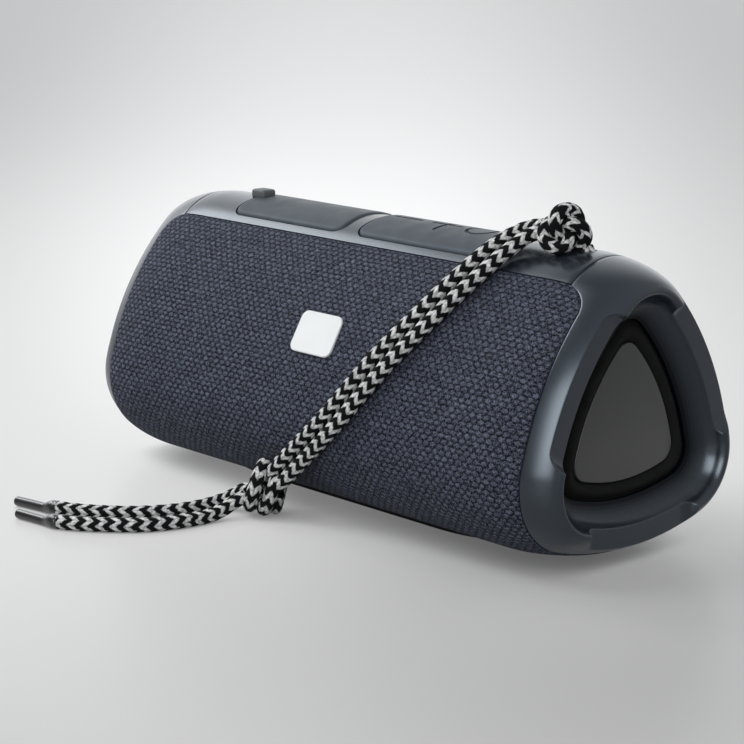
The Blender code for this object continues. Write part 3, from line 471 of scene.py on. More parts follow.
def glossy_plate():
    """Radiator plate: dark gloss, with a painted reflection that makes it a little paler towards its lower edge."""
    shader = Shader("glossy_plate", (0.046, 0.046, 0.045), roughness=0.16)
    height = shader.split(shader.place())[2]
    uneven = shader.plus(height, shader.times(shader.noise(PAINTED_REFLECTION_SCALE, 3), PAINTED_REFLECTION_WANDER))
    low, high = (0.058, 0.057, 0.056), (0.041, 0.041, 0.040)
    # Painted reflection: paler low on the plate, darker high up
    shader.set("Base Color", shader.mix(shader.remap(uneven, *PAINTED_REFLECTION_HEIGHTS), low, high))
    shader.set("Roughness", shader.remap(shader.noise(SMUDGE_SCALE, 3), 0.3, 0.7, 0.13, 0.20, "LINEAR"))
    shader.bump(shader.noise(POLISH_SCALE, 2), POLISH_DEPTH, 0.5)
    return shader.material


COOL = (0.80, 0.90, 1.0, 1.0)
SATIN_COLOUR = (0.012, 0.016, 0.022)
SATIN_ROUGHNESS = 0.26
SATIN_SHINE = 0.7
# Painted shade down the caps' dish: steps that grow darker, rougher and less shiny towards the plate
PAINTED_SHADE_STEP_COUNT = 10
LIP_PAINTED_DARKENING = 0.75
LIP_ROUGHER = 0.12
LIP_PAINTED_SHINE_LOSS = 0.60


def painted_shade_look(step):
    """The caps' plastic on a step down into the dish, with painted shade: darker and duller than the last."""
    share = (step + 1) / PAINTED_SHADE_STEP_COUNT
    colour = tuple(c * (1 - LIP_PAINTED_DARKENING * share) for c in SATIN_COLOUR)
    return moulded(f"painted_shade_lip_{step}", colour, SATIN_ROUGHNESS + LIP_ROUGHER * share, depth=0, spread=0.06,
                   specular_tint=COOL, specular_ior_level=SATIN_SHINE - LIP_PAINTED_SHINE_LOSS * share)


SLOT_LOOKS = {
    "satin_plastic": moulded("satin_plastic", SATIN_COLOUR, SATIN_ROUGHNESS, depth=0, spread=0.06,
                             uneven=0.03, specular_tint=COOL, specular_ior_level=SATIN_SHINE),
    "rubber_pad": moulded("rubber_pad", (0.022, 0.029, 0.038), 0.52, spread=0.08, specular_tint=COOL,
                          specular_ior_level=0.40),
    "black_rubber": moulded("black_rubber", (0.003, 0.003, 0.003), 0.8, 2000, spread=0.15,
                            specular_ior_level=0.2),
    "fabric": woven(),
    "gloss_plate": glossy_plate(),
    "white_badge": moulded("white_badge", (0.77, 0.775, 0.765), 0.5, 2400, 0.008 * MM, 0.02),
    "inner_plastic": moulded("inner_plastic", (0.014, 0.014, 0.016), 0.55, 1500, 0.03 * MM, 0.2),
    "steel": moulded("pressed_steel", (0.46, 0.46, 0.47), 0.36, 2200, spread=0.08, metallic=1.0),
    "paper_cone": moulded("paper_cone", (0.018, 0.018, 0.018), 0.9, 900, 0.08 * MM, 0.25),
    "board": moulded("circuit_board", (0.008, 0.075, 0.036), 0.42, 700, 0.03 * MM, 0.3),
    "cell_wrap": moulded("cell_wrap", (0.03, 0.12, 0.33), 0.4, 900, spread=0.1),
    "braid": braided("braided_cord", 0.46),
    "aglet": moulded("aglet_tube", (0.013, 0.012, 0.012), 0.26, 1200, spread=0.25, coat_weight=0.3),
}
PAINTED_SHADE_LOOKS = [painted_shade_look(step) for step in range(PAINTED_SHADE_STEP_COUNT)]
TAB_RUBBER = moulded("tab_rubber", (0.085, 0.090, 0.090), 0.6, spread=0.08)
KNOT_BRAID = braided("knotted_cord", 0.34)


def dress_solids():
    """Gives every carried-over node the look of its slot."""
    slots = {part["node"]: part["material_slot"] for part in frame["record"]["subparts"]}
    for name, obj in frame["nodes"].items():
        obj.data.materials.clear()
        obj.data.materials.append(SLOT_LOOKS[slots[name]])


def settle(obj, slot, *nodes, body="speaker"):
    """Gives a piece its look, lets it ride on its body and stand for its nodes."""
    obj.data.materials.clear()
    obj.data.materials.append(SLOT_LOOKS[slot])
    if "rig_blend" not in obj:
        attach(obj, body)
    if nodes:
        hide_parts(*nodes)
    return obj


def set_blend(obj, weights):
    """Overwrites the blend's weights, one for each vertex."""
    obj.data.attributes["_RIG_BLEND"].data.foreach_set("value", weights.astype(np.float32))


# End caps; a wall's profile is a list of (x, offset), in millimetres
CAP_STEPS = (36, 110)
CAP_START_X = 79.8 * MM
CAP_FLANGE = 1.4 * MM
CAP_ROUND = 0.3 * MM
CAP_CHAMFER = 0.09 * MM
ROLL_ROWS = 26
ROLL_END_TURN = 70
LIP = ((98.46, -6.185), (99.45, -7.3), (99.85, -8.2), (99.6, -9.0), (98.4, -9.75), (96.5, -10.4), (94.2, -11.9),
       (92.4, -14.1), (91.5, -16.2), (91.2, -16.8))
LIP_ROWS = 44
PAINTED_SHADE_OFFSETS = np.linspace(11.4, 15.8, PAINTED_SHADE_STEP_COUNT) * MM
SLEEVE = ((90.3, -16.9), (90.2, -6.2), (88.6, -4.8), (79.8, -4.4))
FACET_TURNS = (30, 150, 270)
FACET_X = 96.5 * MM
FACET_HALF = 22.5 * MM
FACET_SCOOP = 4.0 * MM
FACET_ROUND = 0.16 * MM
FACET_FROM_X = 94 * MM
FACET_INNER = -10.6 * MM
NO_FACET = 1.0


def cap_rows(angles):
    """Grids of x and offset round an end cap's wall, one column for each outline angle."""
    edge = cap_edge(angles)
    start = np.full_like(edge, CAP_START_X)
    span = HALF_LENGTH - ROLL_START
    rows = [(start, roll(start) - CAP_FLANGE), (edge, roll(edge) - CAP_FLANGE),
            (edge, roll(edge) - CAP_ROUND), (edge + CAP_CHAMFER, roll(edge) - CAP_CHAMFER)]
    first = np.arcsin((edge + CAP_ROUND - ROLL_START) / span)
    last = math.radians(ROLL_END_TURN)
    for share in np.linspace(0, 1, ROLL_ROWS):
        x = ROLL_START + span * np.sin(first + (last - first) * share)
        rows.append((x, roll(x)))
    for x, offset in [*spline(LIP, LIP_ROWS)[1:], *SLEEVE]:
        rows.append((np.full_like(edge, x * MM), np.full_like(edge, offset * MM)))
    return np.array(rows).swapaxes(0, 1)


def facet_limit(y, z):
    """The largest X that the three facets leave at each point of the section."""
    limit = np.full_like(y, NO_FACET)
    for turn in FACET_TURNS:
        normal = np.array((math.cos(math.radians(turn)), math.sin(math.radians(turn))))
        out = y * normal[0] + z * normal[1]
        along = np.abs(-y * normal[1] + z * normal[0])
        into = np.clip((along - FACET_HALF + FACET_SCOOP) / FACET_SCOOP, 0, 1)
        here = FACET_X + FACET_SCOOP * (1 - np.sqrt(1 - into**2))
        inside = (along < FACET_HALF) & (out > CORNER_CENTRE)
        limit = np.where(inside, np.minimum(limit, here), limit)
    return limit


def make_end_cap(side, word):
    """A rolled and dished ring with three scooped facets, with painted shade that grows darker and duller step by
    step down its dish.
    """
    angles = ring_angles(*CAP_STEPS)
    x, offset = cap_rows(angles)
    y, z = outline(np.broadcast_to(angles, x.shape), offset)
    limit = facet_limit(y, z)
    over = x - limit
    rounded = limit + 0.5 * (over - np.sqrt(over**2 + FACET_ROUND**2))
    faceted = (limit < NO_FACET) & (offset > FACET_INNER) & (x > FACET_FROM_X)
    x = np.where(faceted, np.minimum(x, rounded), x)
    cap = smooth(ring_object(f"{word}_cap_shell", np.stack([side * x, y, CENTRE_Z + z], -1)), 40)
    settle(cap, "satin_plastic", f"{word}_end_cap")
    for look in PAINTED_SHADE_LOOKS:
        cap.data.materials.append(look)
    # Painted shade: each face takes the step of its shallowest vertex
    depth = np.digitize(-offset, PAINTED_SHADE_OFFSETS).ravel()
    for face in cap.data.polygons:
        face.material_index = min(int(depth[i]) for i in face.vertices)


# Fabric
FABRIC_STEPS = (40, 90)
FABRIC_FACE = -0.40 * MM
FABRIC_GAP = 0.12 * MM
FABRIC_THICKNESS = 0.65 * MM
EDGE_ANGLES = (0.4, 0.8, 1.2, 1.7, 2.2, 2.8, 3.5, 4.3)
END_SHARE = 0.8


def make_fabric():
    """One stretched sheet round the body, with its rows and columns close-set near its edges."""
    inset = math.degrees(FABRIC_GAP / SIDE_RADIUS)
    angles = ring_angles(*FABRIC_STEPS)
    front = CREST + CREST_HALF
    back = 540 - front
    angles = np.append(angles[(angles >= front) & (angles <= back)], back)
    near = front + np.array(EDGE_ANGLES)
    angles = np.unique(np.round(np.concatenate([angles, near, 540 - near]), 4))
    angles[0] += inset
    angles[-1] -= inset
    share = np.unique(np.concatenate([np.linspace(-1, -END_SHARE, 30), np.linspace(-END_SHARE, END_SHARE, 60),
                                      np.linspace(END_SHARE, 1, 30)]))
    edge = cap_edge(angles) - FABRIC_GAP
    x = share[:, None] * edge[None, :]
    points = body_points(x, np.broadcast_to(angles, x.shape), FABRIC_FACE)
    arc = distances_along(body_points(np.zeros_like(angles), angles, FABRIC_FACE))
    cloth = grid_object("fabric_cover", points, uv=np.stack([x, np.broadcast_to(arc, x.shape)], -1))
    cloth.data.flip_normals()
    smooth(cloth, 60)
    solidify = cloth.modifiers.new("thickness", "SOLIDIFY")
    solidify.thickness = FABRIC_THICKNESS
    solidify.offset = -1
    settle(cloth, "fabric", "fabric_wrap")


# Crest strip and pads
STRIP_GAP = 0.3 * MM
STRIP_THICKNESS = 1.1 * MM
STRIP_ROUND = 0.6 * MM
STRIP_ENDS = (0, 0.08, 0.25)
STRIP_ROWS = 90
PAD_HALF = 14.5 * MM
PAD_CORNER = 4.5 * MM
PAD_RISE = 0.6 * MM
PAD_SOFT = 1.7 * MM
PAD_FALL = 2.5
PAD_SLOT = 0.25 * MM
PAD_END_SLOT = 0.7 * MM
SLOT_HEIGHTS = (3 * MM, -4 * MM)
COVER_X = (-62 * MM, -11 * MM)
KEYPAD_X = (-5 * MM, 47.8 * MM)
KEYS = {"minus_key": 6 * MM, "plus_key": 21.5 * MM, "ring_key": 37 * MM}
LOOP_X = 68 * MM
LOOP_RADIUS = 8.4 * MM
LOOP_DEPTH = 4.7 * MM
LOOP_HOLE = 2.5 * MM
TINY = 1e-6


def crest_section(x, half_arc, top, bottom, fillet, count=64, soft=None):
    """A closed loop across the crest at this X: over the top, with rounded or soft edges, and back below."""
    over = np.linspace(-1, 1, count)
    reach = soft or fillet
    drop_at = np.clip((np.abs(over) * half_arc - (half_arc - reach)) / reach, 0, 1)
    height = top - fillet * (drop_at**PAD_FALL if soft else 1 - np.sqrt(1 - drop_at**2))
    arcs = np.concatenate([over * half_arc, over[::-1] * half_arc])
    heights = np.concatenate([height, np.full(count, bottom)])
    return body_points(x, CREST + np.degrees(arcs / CORNER_RADIUS), heights)


def pad_rows(ends, half_arc, corner, top, bottom, rise=0.0, stretch=None):
    """Sections along a rounded pad, or a stretch of it, which falls softly by rise at its edges."""
    low, high = ends
    near = np.concatenate([np.linspace(0, PAD_SOFT, 9), np.linspace(PAD_SOFT, corner, 12)[1:]])
    middle = np.linspace(low + corner, high - corner, 60)[1:-1]
    stations = np.concatenate([low + near, middle, (high - near)[::-1]])
    if stretch is not None:
        inner = stations[(stations > stretch[0] + TINY) & (stations < stretch[1] - TINY)]
        stations = np.concatenate([[stretch[0]], inner, [stretch[1]]])
    rows = []
    for x in stations:
        from_end = min(x - low, high - x)
        into = max(0.0, 1 - from_end / corner)
        half = half_arc - corner * (1 - math.sqrt(max(0.0, 1 - into**2)))
        lower = rise * max(0.0, 1 - from_end / PAD_SOFT) ** PAD_FALL
        rows.append(crest_section(x, half, top - lower, bottom, rise - lower, soft=PAD_SOFT))
    return rows


def raised_pad(name, ends, stretch=None):
    rows = pad_rows(ends, PAD_HALF, PAD_CORNER, PAD_RISE, -STRIP_THICKNESS, PAD_RISE, stretch)
    return bar_object(name, rows)


def make_strip():
    """The plastic strip along the crest, with pockets for the pads and holes for the lanyard's loop."""
    reach = SEAM_X - STRIP_GAP
    half = math.radians(CREST_HALF) * CORNER_RADIUS
    ends = np.array(STRIP_ENDS) * MM
    middle = np.linspace(-reach, reach, STRIP_ROWS)[1:-1]
    stations = np.concatenate([-reach + ends, middle, (reach - ends)[::-1]])
    drops = np.concatenate([ends[::-1], np.zeros(STRIP_ROWS - 2), ends])
    strip = bar_object("crest_strip", [crest_section(x, half, -drop, -STRIP_THICKNESS, STRIP_ROUND, 72)
                                       for x, drop in zip(stations, drops)])
    for low, high in (COVER_X, KEYPAD_X):
        ends = (low - PAD_END_SLOT, high + PAD_SLOT)
        pocket = pad_rows(ends, PAD_HALF + PAD_SLOT, PAD_CORNER + PAD_SLOT, *SLOT_HEIGHTS)
        cut(strip, bar_object("slot", pocket))
    bpy.ops.mesh.primitive_torus_add(
        major_radius=LOOP_RADIUS, minor_radius=LOOP_HOLE, major_segments=64, minor_segments=32,
        location=(LOOP_X, 0, CREST_Z - LOOP_DEPTH), rotation=(math.radians(90), 0, 0))
    cut(strip, bpy.context.object)
    smooth(strip, 30)
    settle(strip, "satin_plastic", "top_strip")


# Keys: the place and reach of each sunk sign
SIGNS = {
    "minus_key": (4.5 * MM, 6.0 * MM),
    "plus_key": (20.9 * MM, 6.4 * MM),
    "ring_key": (34.9 * MM, 4.6 * MM),
}
SIGN_LINE = 0.55 * MM
SIGN_DEPTH = 0.45 * MM
CROSS_DEPTH = SIGN_DEPTH + 0.9 * MM
RING_SINK = 0.1 * MM
CUTTER_TOP = 6 * MM
KEY_SOFT = (7.6 * MM, 11 * MM)
KEY_FLAT = 0.55


def sign_bar(x, half_x, half_y, depth):
    """A cutter bar with round ends, standing on the crest, for a sunk sign."""
    thin = min(half_x, half_y)
    along = max(half_x, half_y) - thin
    turn = np.radians(np.linspace(-90, 90, 13))
    end = np.stack([along + thin * np.cos(turn), thin * np.sin(turn)], -1)
    loop = np.vstack([end, -end])
    if half_y > half_x:
        loop = np.stack([-loop[:, 1], loop[:, 0]], -1)
    return bar_object("sign", [np.column_stack([x + loop[:, 0], loop[:, 1], np.full(len(loop), z)])
                               for z in (CREST_Z + PAD_RISE - depth, CREST_Z + CUTTER_TOP)])


def sink_sign(piece, key):
    """Cuts a key's minus, plus or ring into its membrane."""
    x, reach = SIGNS[key]
    if key in ("minus_key", "plus_key"):
        cut(piece, sign_bar(x, reach, SIGN_LINE, SIGN_DEPTH))
    if key == "plus_key":
        cut(piece, sign_bar(x, SIGN_LINE, reach, CROSS_DEPTH))
    if key == "ring_key":
        bpy.ops.mesh.primitive_torus_add(
            major_radius=reach, minor_radius=SIGN_LINE, major_segments=72, minor_segments=20,
            location=(x, 0, CREST_Z + PAD_RISE - RING_SINK))
        ring = bpy.context.object
        for vertex in ring.data.vertices:
            vertex.co.z -= CORNER_RADIUS - math.sqrt(CORNER_RADIUS**2 - vertex.co.y**2)
        cut(piece, ring)


def key_weights(piece, key):
    """Weights of a rubber membrane that is pressed down at its key and held at its rim."""
    points = np.array([v.co for v in piece.data.vertices])
    x, y = (points[:, 0] - KEYS[key]) / KEY_SOFT[0], points[:, 1] / KEY_SOFT[1]
    return 1 - ease(np.clip((np.sqrt(x**2 + y**2) - KEY_FLAT) / (1 - KEY_FLAT), 0, 1))


def make_keypad():
    """One rubber pad in three membranes, which meet half way between their keys."""
    places = list(KEYS.values())
    borders = [KEYPAD_X[0], *[(a + b) / 2 for a, b in zip(places, places[1:])], KEYPAD_X[1]]
    for i, name in enumerate(KEYS):
        piece = raised_pad(f"{name}_membrane", KEYPAD_X, borders[i:i + 2])
        sink_sign(piece, name)
        smooth(piece, 30)
        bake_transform(piece, "speaker", name, start=(KEYS[name], 0, CREST_Z), end=(KEYS[name], 0, CREST_Z + 10 * MM))
        set_blend(piece, key_weights(piece, name))
        settle(piece, "rubber_pad", name, *(["keypad"] if i == 0 else []))


# Port cover: (centre, size, bevel, bevel segments) of its tab and plug
TAB = ((-61.2 * MM, -1.2 * MM, CREST_Z + 1.0 * MM), (6.2 * MM, 5.4 * MM, 3.0 * MM), 0.9 * MM, 5)
PLUG = ((-37 * MM, 0, CREST_Z - 2.0 * MM), (25 * MM, 9.2 * MM, 2.4 * MM), 0.5 * MM, 3)
STRAP_X = (-20 * MM, -8.6 * MM)
STRAP_HALF = 5 * MM
STRAP_HEIGHTS = (-0.95 * MM, -1.5 * MM)
STRAP_ROUND = 0.2 * MM
STRAP_BEND = (-10 * MM, -14 * MM)


def cover_block(name, centre, size, bevel, segments):
    """A box with rounded edges that rides on the port cover."""
    bm = bmesh.new()
    bmesh.ops.create_cube(bm, size=1, matrix=Matrix.Translation(centre) @ Matrix.Diagonal((*size, 1)))
    bmesh.ops.bevel(bm, geom=bm.edges[:], offset=bevel, segments=segments, affect="EDGES", profile=0.5)
    mesh = bpy.data.meshes.new(name)
    bm.to_mesh(mesh)
    bm.free()
    return settle(smooth(add_object(name, mesh), 40), "rubber_pad", body="port_cover")


def make_port_cover():
    cover = smooth(raised_pad("port_cover_skin", COVER_X), 35)
    settle(cover, "rubber_pad", "port_cover", body="port_cover")
    tab = cover_block("cover_pull_tab", *TAB)
    tab.data.materials[0] = TAB_RUBBER
    cover_block("cover_plug_slab", *PLUG)


def make_hinge_strap():
    """A rubber tongue that joins the cover to the strip and bends as the cover opens."""
    stations = np.linspace(*STRAP_X, 40)
    rows = [crest_section(x, STRAP_HALF, *STRAP_HEIGHTS, STRAP_ROUND, 20) for x in stations]
    strap = smooth(bar_object("cover_hinge_strap", rows), 40)
    start, end = [(x, 0, CREST_Z) for x in STRAP_BEND]
    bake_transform(strap, "speaker", "port_cover", start=start, end=end)
    settle(strap, "rubber_pad")


# Feet; their turns are degrees round the base from its middle
FOOT_HALF_X = 60 * MM
FOOT_TAPER = 24 * MM
FOOT_TURN = 9.3
FOOT_HALF_TURN = 2.3
FOOT_ROUND = 0.7 * MM
FOOT_INTO_FABRIC = 0.02 * MM
FOOT_THINNING = 1.2 * MM
FOOT_LEAST = 0.02


def make_foot(sign, word):
    """A rubber strip under the base, which narrows and thins out towards its ends."""
    rows = []
    across = np.linspace(-1, 1, 15)
    for x in FOOT_HALF_X * np.sin(np.radians(np.linspace(-90, 90, 81))):
        into = max(0.0, (abs(x) - FOOT_HALF_X + FOOT_TAPER) / FOOT_TAPER)
        share = max(FOOT_LEAST, math.sqrt(max(0.0, 1 - into**2)))
        angles = BASE + sign * (FOOT_TURN + share * FOOT_HALF_TURN * across)
        y, top = outline(angles, FABRIC_FACE + FOOT_INTO_FABRIC)
        edge = np.clip(1 - (1 - np.abs(across)) * np.ptp(y) / (2 * FOOT_ROUND), 0, 1)
        bottom = FOOT_ROUND * (1 - np.sqrt(1 - edge**2)) + FOOT_THINNING * into**2
        loop = np.column_stack([np.concatenate([y, y[::-1]]), np.concatenate([CENTRE_Z + top, bottom[::-1]])])
        rows.append(np.column_stack([np.full(len(loop), x), loop]))
    foot = smooth(bar_object(f"{word}_foot_strip", rows), 50)
    settle(foot, "black_rubber", f"{word}_foot")


# Passive radiators
RADIATOR_STEPS = (30, 40)
SURROUND_X = 89.2 * MM
SURROUND_ROLL = 1.9 * MM
SURROUND_EDGE = -17.2 * MM
SURROUND_FLANGE = -12 * MM
RUBBER_SHEET = 0.7 * MM
PLATE_FACE_X = 91.0 * MM
PLATE_BACK_X = 89.3 * MM
PLATE_ROUND = 0.5 * MM
PLATE_GAP = 0.05 * MM


def section_row(x, y, z):
    """A row of points across the body at this X."""
    return np.column_stack([np.full(len(y), x), y, CENTRE_Z + z])


def make_radiator(side, word):
    """A rubber roll, stretched between its clamped rim and the plate, and the plate with its rounded face."""
    angles = ring_angles(*RADIATOR_STEPS)
    steps = np.linspace(0, 1, 20)
    outer = np.stack(outline(angles, SURROUND_EDGE), -1)
    inner = np.stack(outline(angles, PLATE_GAP, PLATE_SHAPE), -1)
    flange = np.stack(outline(angles, SURROUND_FLANGE), -1)
    rows = []
    weights = []
    for lift, order in ((RUBBER_SHEET, steps), (0.0, steps[::-1])):
        arch = [(outer * (1 - t) + inner * t, SURROUND_X + lift + SURROUND_ROLL * math.sin(math.pi * t), t)
                for t in order]
        rim = [(flange, SURROUND_X + lift, 0.0)]
        for section, x, share in rim + arch if lift else arch + rim:
            rows.append(section_row(side * x, *section.T))
            weights.append(np.full(len(section), share))
    ring = smooth(ring_object(f"{word}_radiator_roll", rows), 50)
    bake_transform(ring, "speaker", f"{word}_radiator", start=(0, 0, CENTRE_Z), end=(side * 0.09, 0, CENTRE_Z))
    set_blend(ring, np.concatenate(weights))
    settle(ring, "black_rubber", f"{word}_radiator_surround")
    rows = [section_row(side * PLATE_BACK_X, *outline(angles, 0.0, PLATE_SHAPE))]
    for turn in np.radians(np.linspace(0, 90, 7)):
        inset, x = PLATE_ROUND * (1 - math.cos(turn)), PLATE_FACE_X - PLATE_ROUND * (1 - math.sin(turn))
        rows.append(section_row(side * x, *outline(angles, -inset, PLATE_SHAPE)))
    plate = smooth(bar_object(f"{word}_radiator_face", rows), 40)
    settle(plate, "gloss_plate", f"{word}_radiator_plate", body=f"{word}_radiator")


# Lanyard, with its routes and knots in millimetres above the floor, as in the solids
CORD_RADIUS = 2.1 * MM
CORD_STEP = 0.4 * MM
CORD_SIDES = 40
STRANDS = {
    "upper_strand": (
        (58.6, -3.6, 89.9), (54.6, -5.6, 88.3), (51.6, -12.6, 84.6), (47.5, -21.7, 77.1), (41.1, -30.2, 66.8),
        (30.9, -38.5, 52.8), (17.9, -45.0, 34.9), (7.1, -46.6, 24.0), (-0.6, -47.4, 16.4),
    ),
    "lower_strand": (
        (61.2, -9.7, 87.9), (59.2, -12.9, 85.2), (57.0, -17.0, 81.8), (53.0, -23.7, 75.0), (46.4, -31.6, 64.9),
        (36.1, -39.3, 51.0), (23.0, -45.4, 33.2), (11.4, -46.6, 21.4), (2.2, -47.9, 12.2),
    ),
}
TAILS = {
    "near_tail": (
        (-10.3, -55.0, 5.2), (-11.2, -59.4, 3.1), (-11.4, -64.5, 2.2), (-11.9, -71.0, 2.2), (-13.6, -78.3, 2.2),
        (-16.8, -84.6, 2.2), (-21.3, -89.9, 2.2), (-26.0, -94.4, 2.2), (-30.6, -98.2, 2.2), (-36.0, -101.2, 2.2),
    ),
    "far_tail": (
        (-14.3, -48.7, 6.6), (-18.2, -50.6, 4.0), (-20.5, -55.0, 2.4), (-21.1, -63.5, 2.2), (-23.2, -70.8, 2.2),
        (-26.7, -77.1, 2.2), (-31.2, -82.3, 2.2), (-36.5, -86.8, 2.2), (-42.0, -90.4, 2.2), (-47.8, -93.0, 2.2),
    ),
}
KNOTS = {"upper_knot": (68.4, -2.5, 91.9), "lower_knot": (-6.6, -47.6, 8.2)}
INTO_KNOT = 0.35
KNOT_STEPS = 300
LOBES_SHIFT = (2.6, -2.3, -1.6)
LOBES_RADIUS = 3.9
LOBES_SWING = 1.95
LOBES_DEPTH = 2.1
LOBES_LEAN = math.radians(85)
LOBES_ASIDE = (0.68, 0.73, 0)
LOBES_TOWARD = (0.73, -0.68, 0.05)
COIL_SHIFT = (0.8, 0.9, 0.62)
COIL_TURNS = 2.5
COIL_START = math.radians(200)
COIL_AXIS = (-0.70, -0.66, 0.22)
COIL_HALF = 3.6
COIL_DEEP = 5.4
COIL_HIGH = 6.4
TUCK_SHARE = 0.12
TUCK_RADIUS = 0.35
LOOP_END = math.radians(38)
AGLET_RADIUS = 1.45 * MM
AGLET_LIFT = 0.2 * MM
AGLET_GRIP = 4
AGLET_MOUTH = 1.04 * CORD_RADIUS
AGLET_TAPER = 5 * MM
AGLET_START = 2 * MM
AGLET_ROUND = 0.6 * MM
AGLET_END = 0.6
AGLET_CLEAR = 0.03 * MM


def unit(vector):
    return vector / np.linalg.norm(vector)


def frames_along(line, closed=False):
    """Two unit vectors across the line at each point, carried along without twist."""
    tangent = np.roll(line, -1, 0) - np.roll(line, 1, 0) if closed else np.gradient(line, axis=0)
    tangent /= np.linalg.norm(tangent, axis=1)[:, None]
    first = [unit(np.cross(tangent[0], (0.3, 0.2, 1.0)))]
    for t in tangent[1:]:
        first.append(unit(first[-1] - t * (first[-1] @ t)))
    first = np.array(first)
    return first, np.cross(tangent, first)


def rings_along(line, turn, radius, closed=False):
    """A ring of points round each point of the line, at these turns and radii."""
    first, second = frames_along(line, closed)
    across = np.cos(turn)[None, :, None] * first[:, None] + np.sin(turn)[None, :, None] * second[:, None]
    return line[:, None] + radius[..., None] * across


def braid_tube(name, line, closed=False):
    """A tube along the line with the braid's relief and its pattern coordinates."""
    along = distances_along(line) / MM
    turn = np.linspace(0, 1, CORD_SIDES, endpoint=False)
    column = turn * BRAID_COLUMNS
    sign = 1 - 2 * (np.floor(column) % 2)
    tilt = (column % 1 - 0.5) * sign * BRAID_SLANT
    phase = along[:, None] / BRAID_PITCH + tilt[None, :]
    yarn = np.abs(np.sin(2 * np.pi * phase)) ** 0.6
    groove = np.cos(np.pi * (column % 1 - 0.5)) ** 0.5
    least, plump, ridged = BRAID_RELIEF
    relief = CORD_RADIUS * (least + plump * yarn + ridged * groove[None, :])
    points = rings_along(line, 2 * np.pi * turn, relief, closed)
    if closed:
        along = np.append(along, along[-1] + np.linalg.norm(line[0] - line[-1]) / MM)
    uv = np.stack(np.meshgrid(np.linspace(0, 1, CORD_SIDES + 1), along), -1)
    return smooth(grid_object(name, points, closed, True, caps=not closed, uv=uv), 60)


def route_line(route, start, end=None):
    """The smooth line of a route and its length; an end that is tied runs a little way into its knot."""
    points = [np.array(point) for point in route]
    points.insert(0, points[0] + INTO_KNOT * (np.array(KNOTS[start]) - points[0]))
    if end:
        points.append(points[-1] + INTO_KNOT * (np.array(KNOTS[end]) - points[-1]))
    points = np.array(points) * MM
    length = steps_along(spline(points, 400)).sum()
    return spline(points, int(length / CORD_STEP) + 2), length


def upper_knot_line():
    """A tight overhand knot seen from the front: a closed line whose three lobes lie on each other."""
    t = np.linspace(0, 2 * math.pi, KNOT_STEPS, endpoint=False)
    out = LOBES_RADIUS + LOBES_SWING * np.cos(3 * t)
    across = out * np.cos(2 * t + LOBES_LEAN)
    up = out * np.sin(2 * t + LOBES_LEAN)
    toward = LOBES_DEPTH * np.sin(3 * t)
    line = np.outer(across, LOBES_ASIDE) + np.outer(toward, LOBES_TOWARD) + np.outer(up, (0, 0, 1))
    return (np.array(KNOTS["upper_knot"]) + LOBES_SHIFT + line) * MM


def lower_knot_line():
    """Two and a half turns of the cord wound round the strands, with both ends tucked inside."""
    turns = np.linspace(0, 1, KNOT_STEPS)
    angle = 2 * math.pi * COIL_TURNS * turns + COIL_START
    tuck = ease(np.clip(np.minimum(turns, 1 - turns) / TUCK_SHARE, 0, 1))
    tuck = TUCK_RADIUS + (1 - TUCK_RADIUS) * tuck
    axis = unit(np.array(COIL_AXIS))
    deep = unit(np.cross(axis, (0, 0, 1.0)))
    high = np.cross(deep, axis)
    wound = np.clip(turns, TUCK_SHARE, 1 - TUCK_SHARE) - 0.5
    along = COIL_HALF * np.sin(math.pi * wound / (1 - 2 * TUCK_SHARE))
    across = np.outer(tuck * COIL_DEEP * np.cos(angle), deep)
    line = np.outer(along, axis) + across + np.outer(tuck * COIL_HIGH * np.sin(angle), high)
    return (np.array(KNOTS["lower_knot"]) + COIL_SHIFT + line) * MM


def make_aglet(name, line):
    """A shrink-tube tip: it grips the braid's end and narrows to a rounded sleeve where the solid lies."""
    points = np.array([v.co for v in frame["nodes"][name].data.vertices])
    middle = points.mean(0)
    axis = np.linalg.svd(points - middle)[2][0]
    axis *= np.sign(axis @ (line[-1] - line[-2]))
    reach = np.abs((points - middle) @ axis).max()
    grip = line[-AGLET_GRIP:]
    sleeve = middle + (0, 0, AGLET_LIFT) + np.linspace(-reach + AGLET_START, reach, 30)[:, None] * axis
    path = spline(np.vstack([grip, sleeve]), 70)
    along = distances_along(path)
    from_grip = np.clip((along - np.linalg.norm(grip[-1] - grip[0])) / AGLET_TAPER, 0, 1)
    radius = AGLET_RADIUS + (AGLET_MOUTH - AGLET_RADIUS) * (1 - ease(from_grip))
    path[:, 2] = np.maximum(path[:, 2], radius + AGLET_CLEAR)
    from_end = np.clip((along[-1] - along) / AGLET_ROUND, 0, 1)
    radius = radius * (AGLET_END + (1 - AGLET_END) * np.sqrt(1 - (1 - from_end) ** 2))
    turn = np.linspace(0, 2 * np.pi, 28, endpoint=False)
    tip = smooth(bar_object(f"{name}_sleeve", rings_along(path, turn, radius[:, None])), 40)
    return settle(tip, "aglet", name)


def make_lanyard():
    knots = {}
    for name, line in (("upper_knot", upper_knot_line()), ("lower_knot", lower_knot_line())):
        knots[name] = settle(braid_tube(f"{name}_cord", line, closed=name == "upper_knot"), "braid", name)
    knots["upper_knot"].data.materials[0] = KNOT_BRAID
    turns = LOOP_END - (math.pi + 2 * LOOP_END) * np.linspace(0, 1, 96)
    x, z = LOOP_X + LOOP_RADIUS * np.cos(turns), CREST_Z - LOOP_DEPTH + LOOP_RADIUS * np.sin(turns)
    loop_line = np.stack([x, 0 * turns, z], -1)
    loop = settle(braid_tube("lanyard_bight", loop_line), "braid", "lanyard_loop")
    length = steps_along(loop_line).sum()
    for name, route in STRANDS.items():
        line, length = route_line(route, "upper_knot", "lower_knot")
        strand = settle(braid_tube(f"{name}_cord", line), "braid", name)
    for name, route in TAILS.items():
        line, length = route_line(route, "lower_knot")
        tail = settle(braid_tube(f"{name}_cord", line), "braid", name)
        tip = make_aglet(name.replace("tail", "aglet"), line)


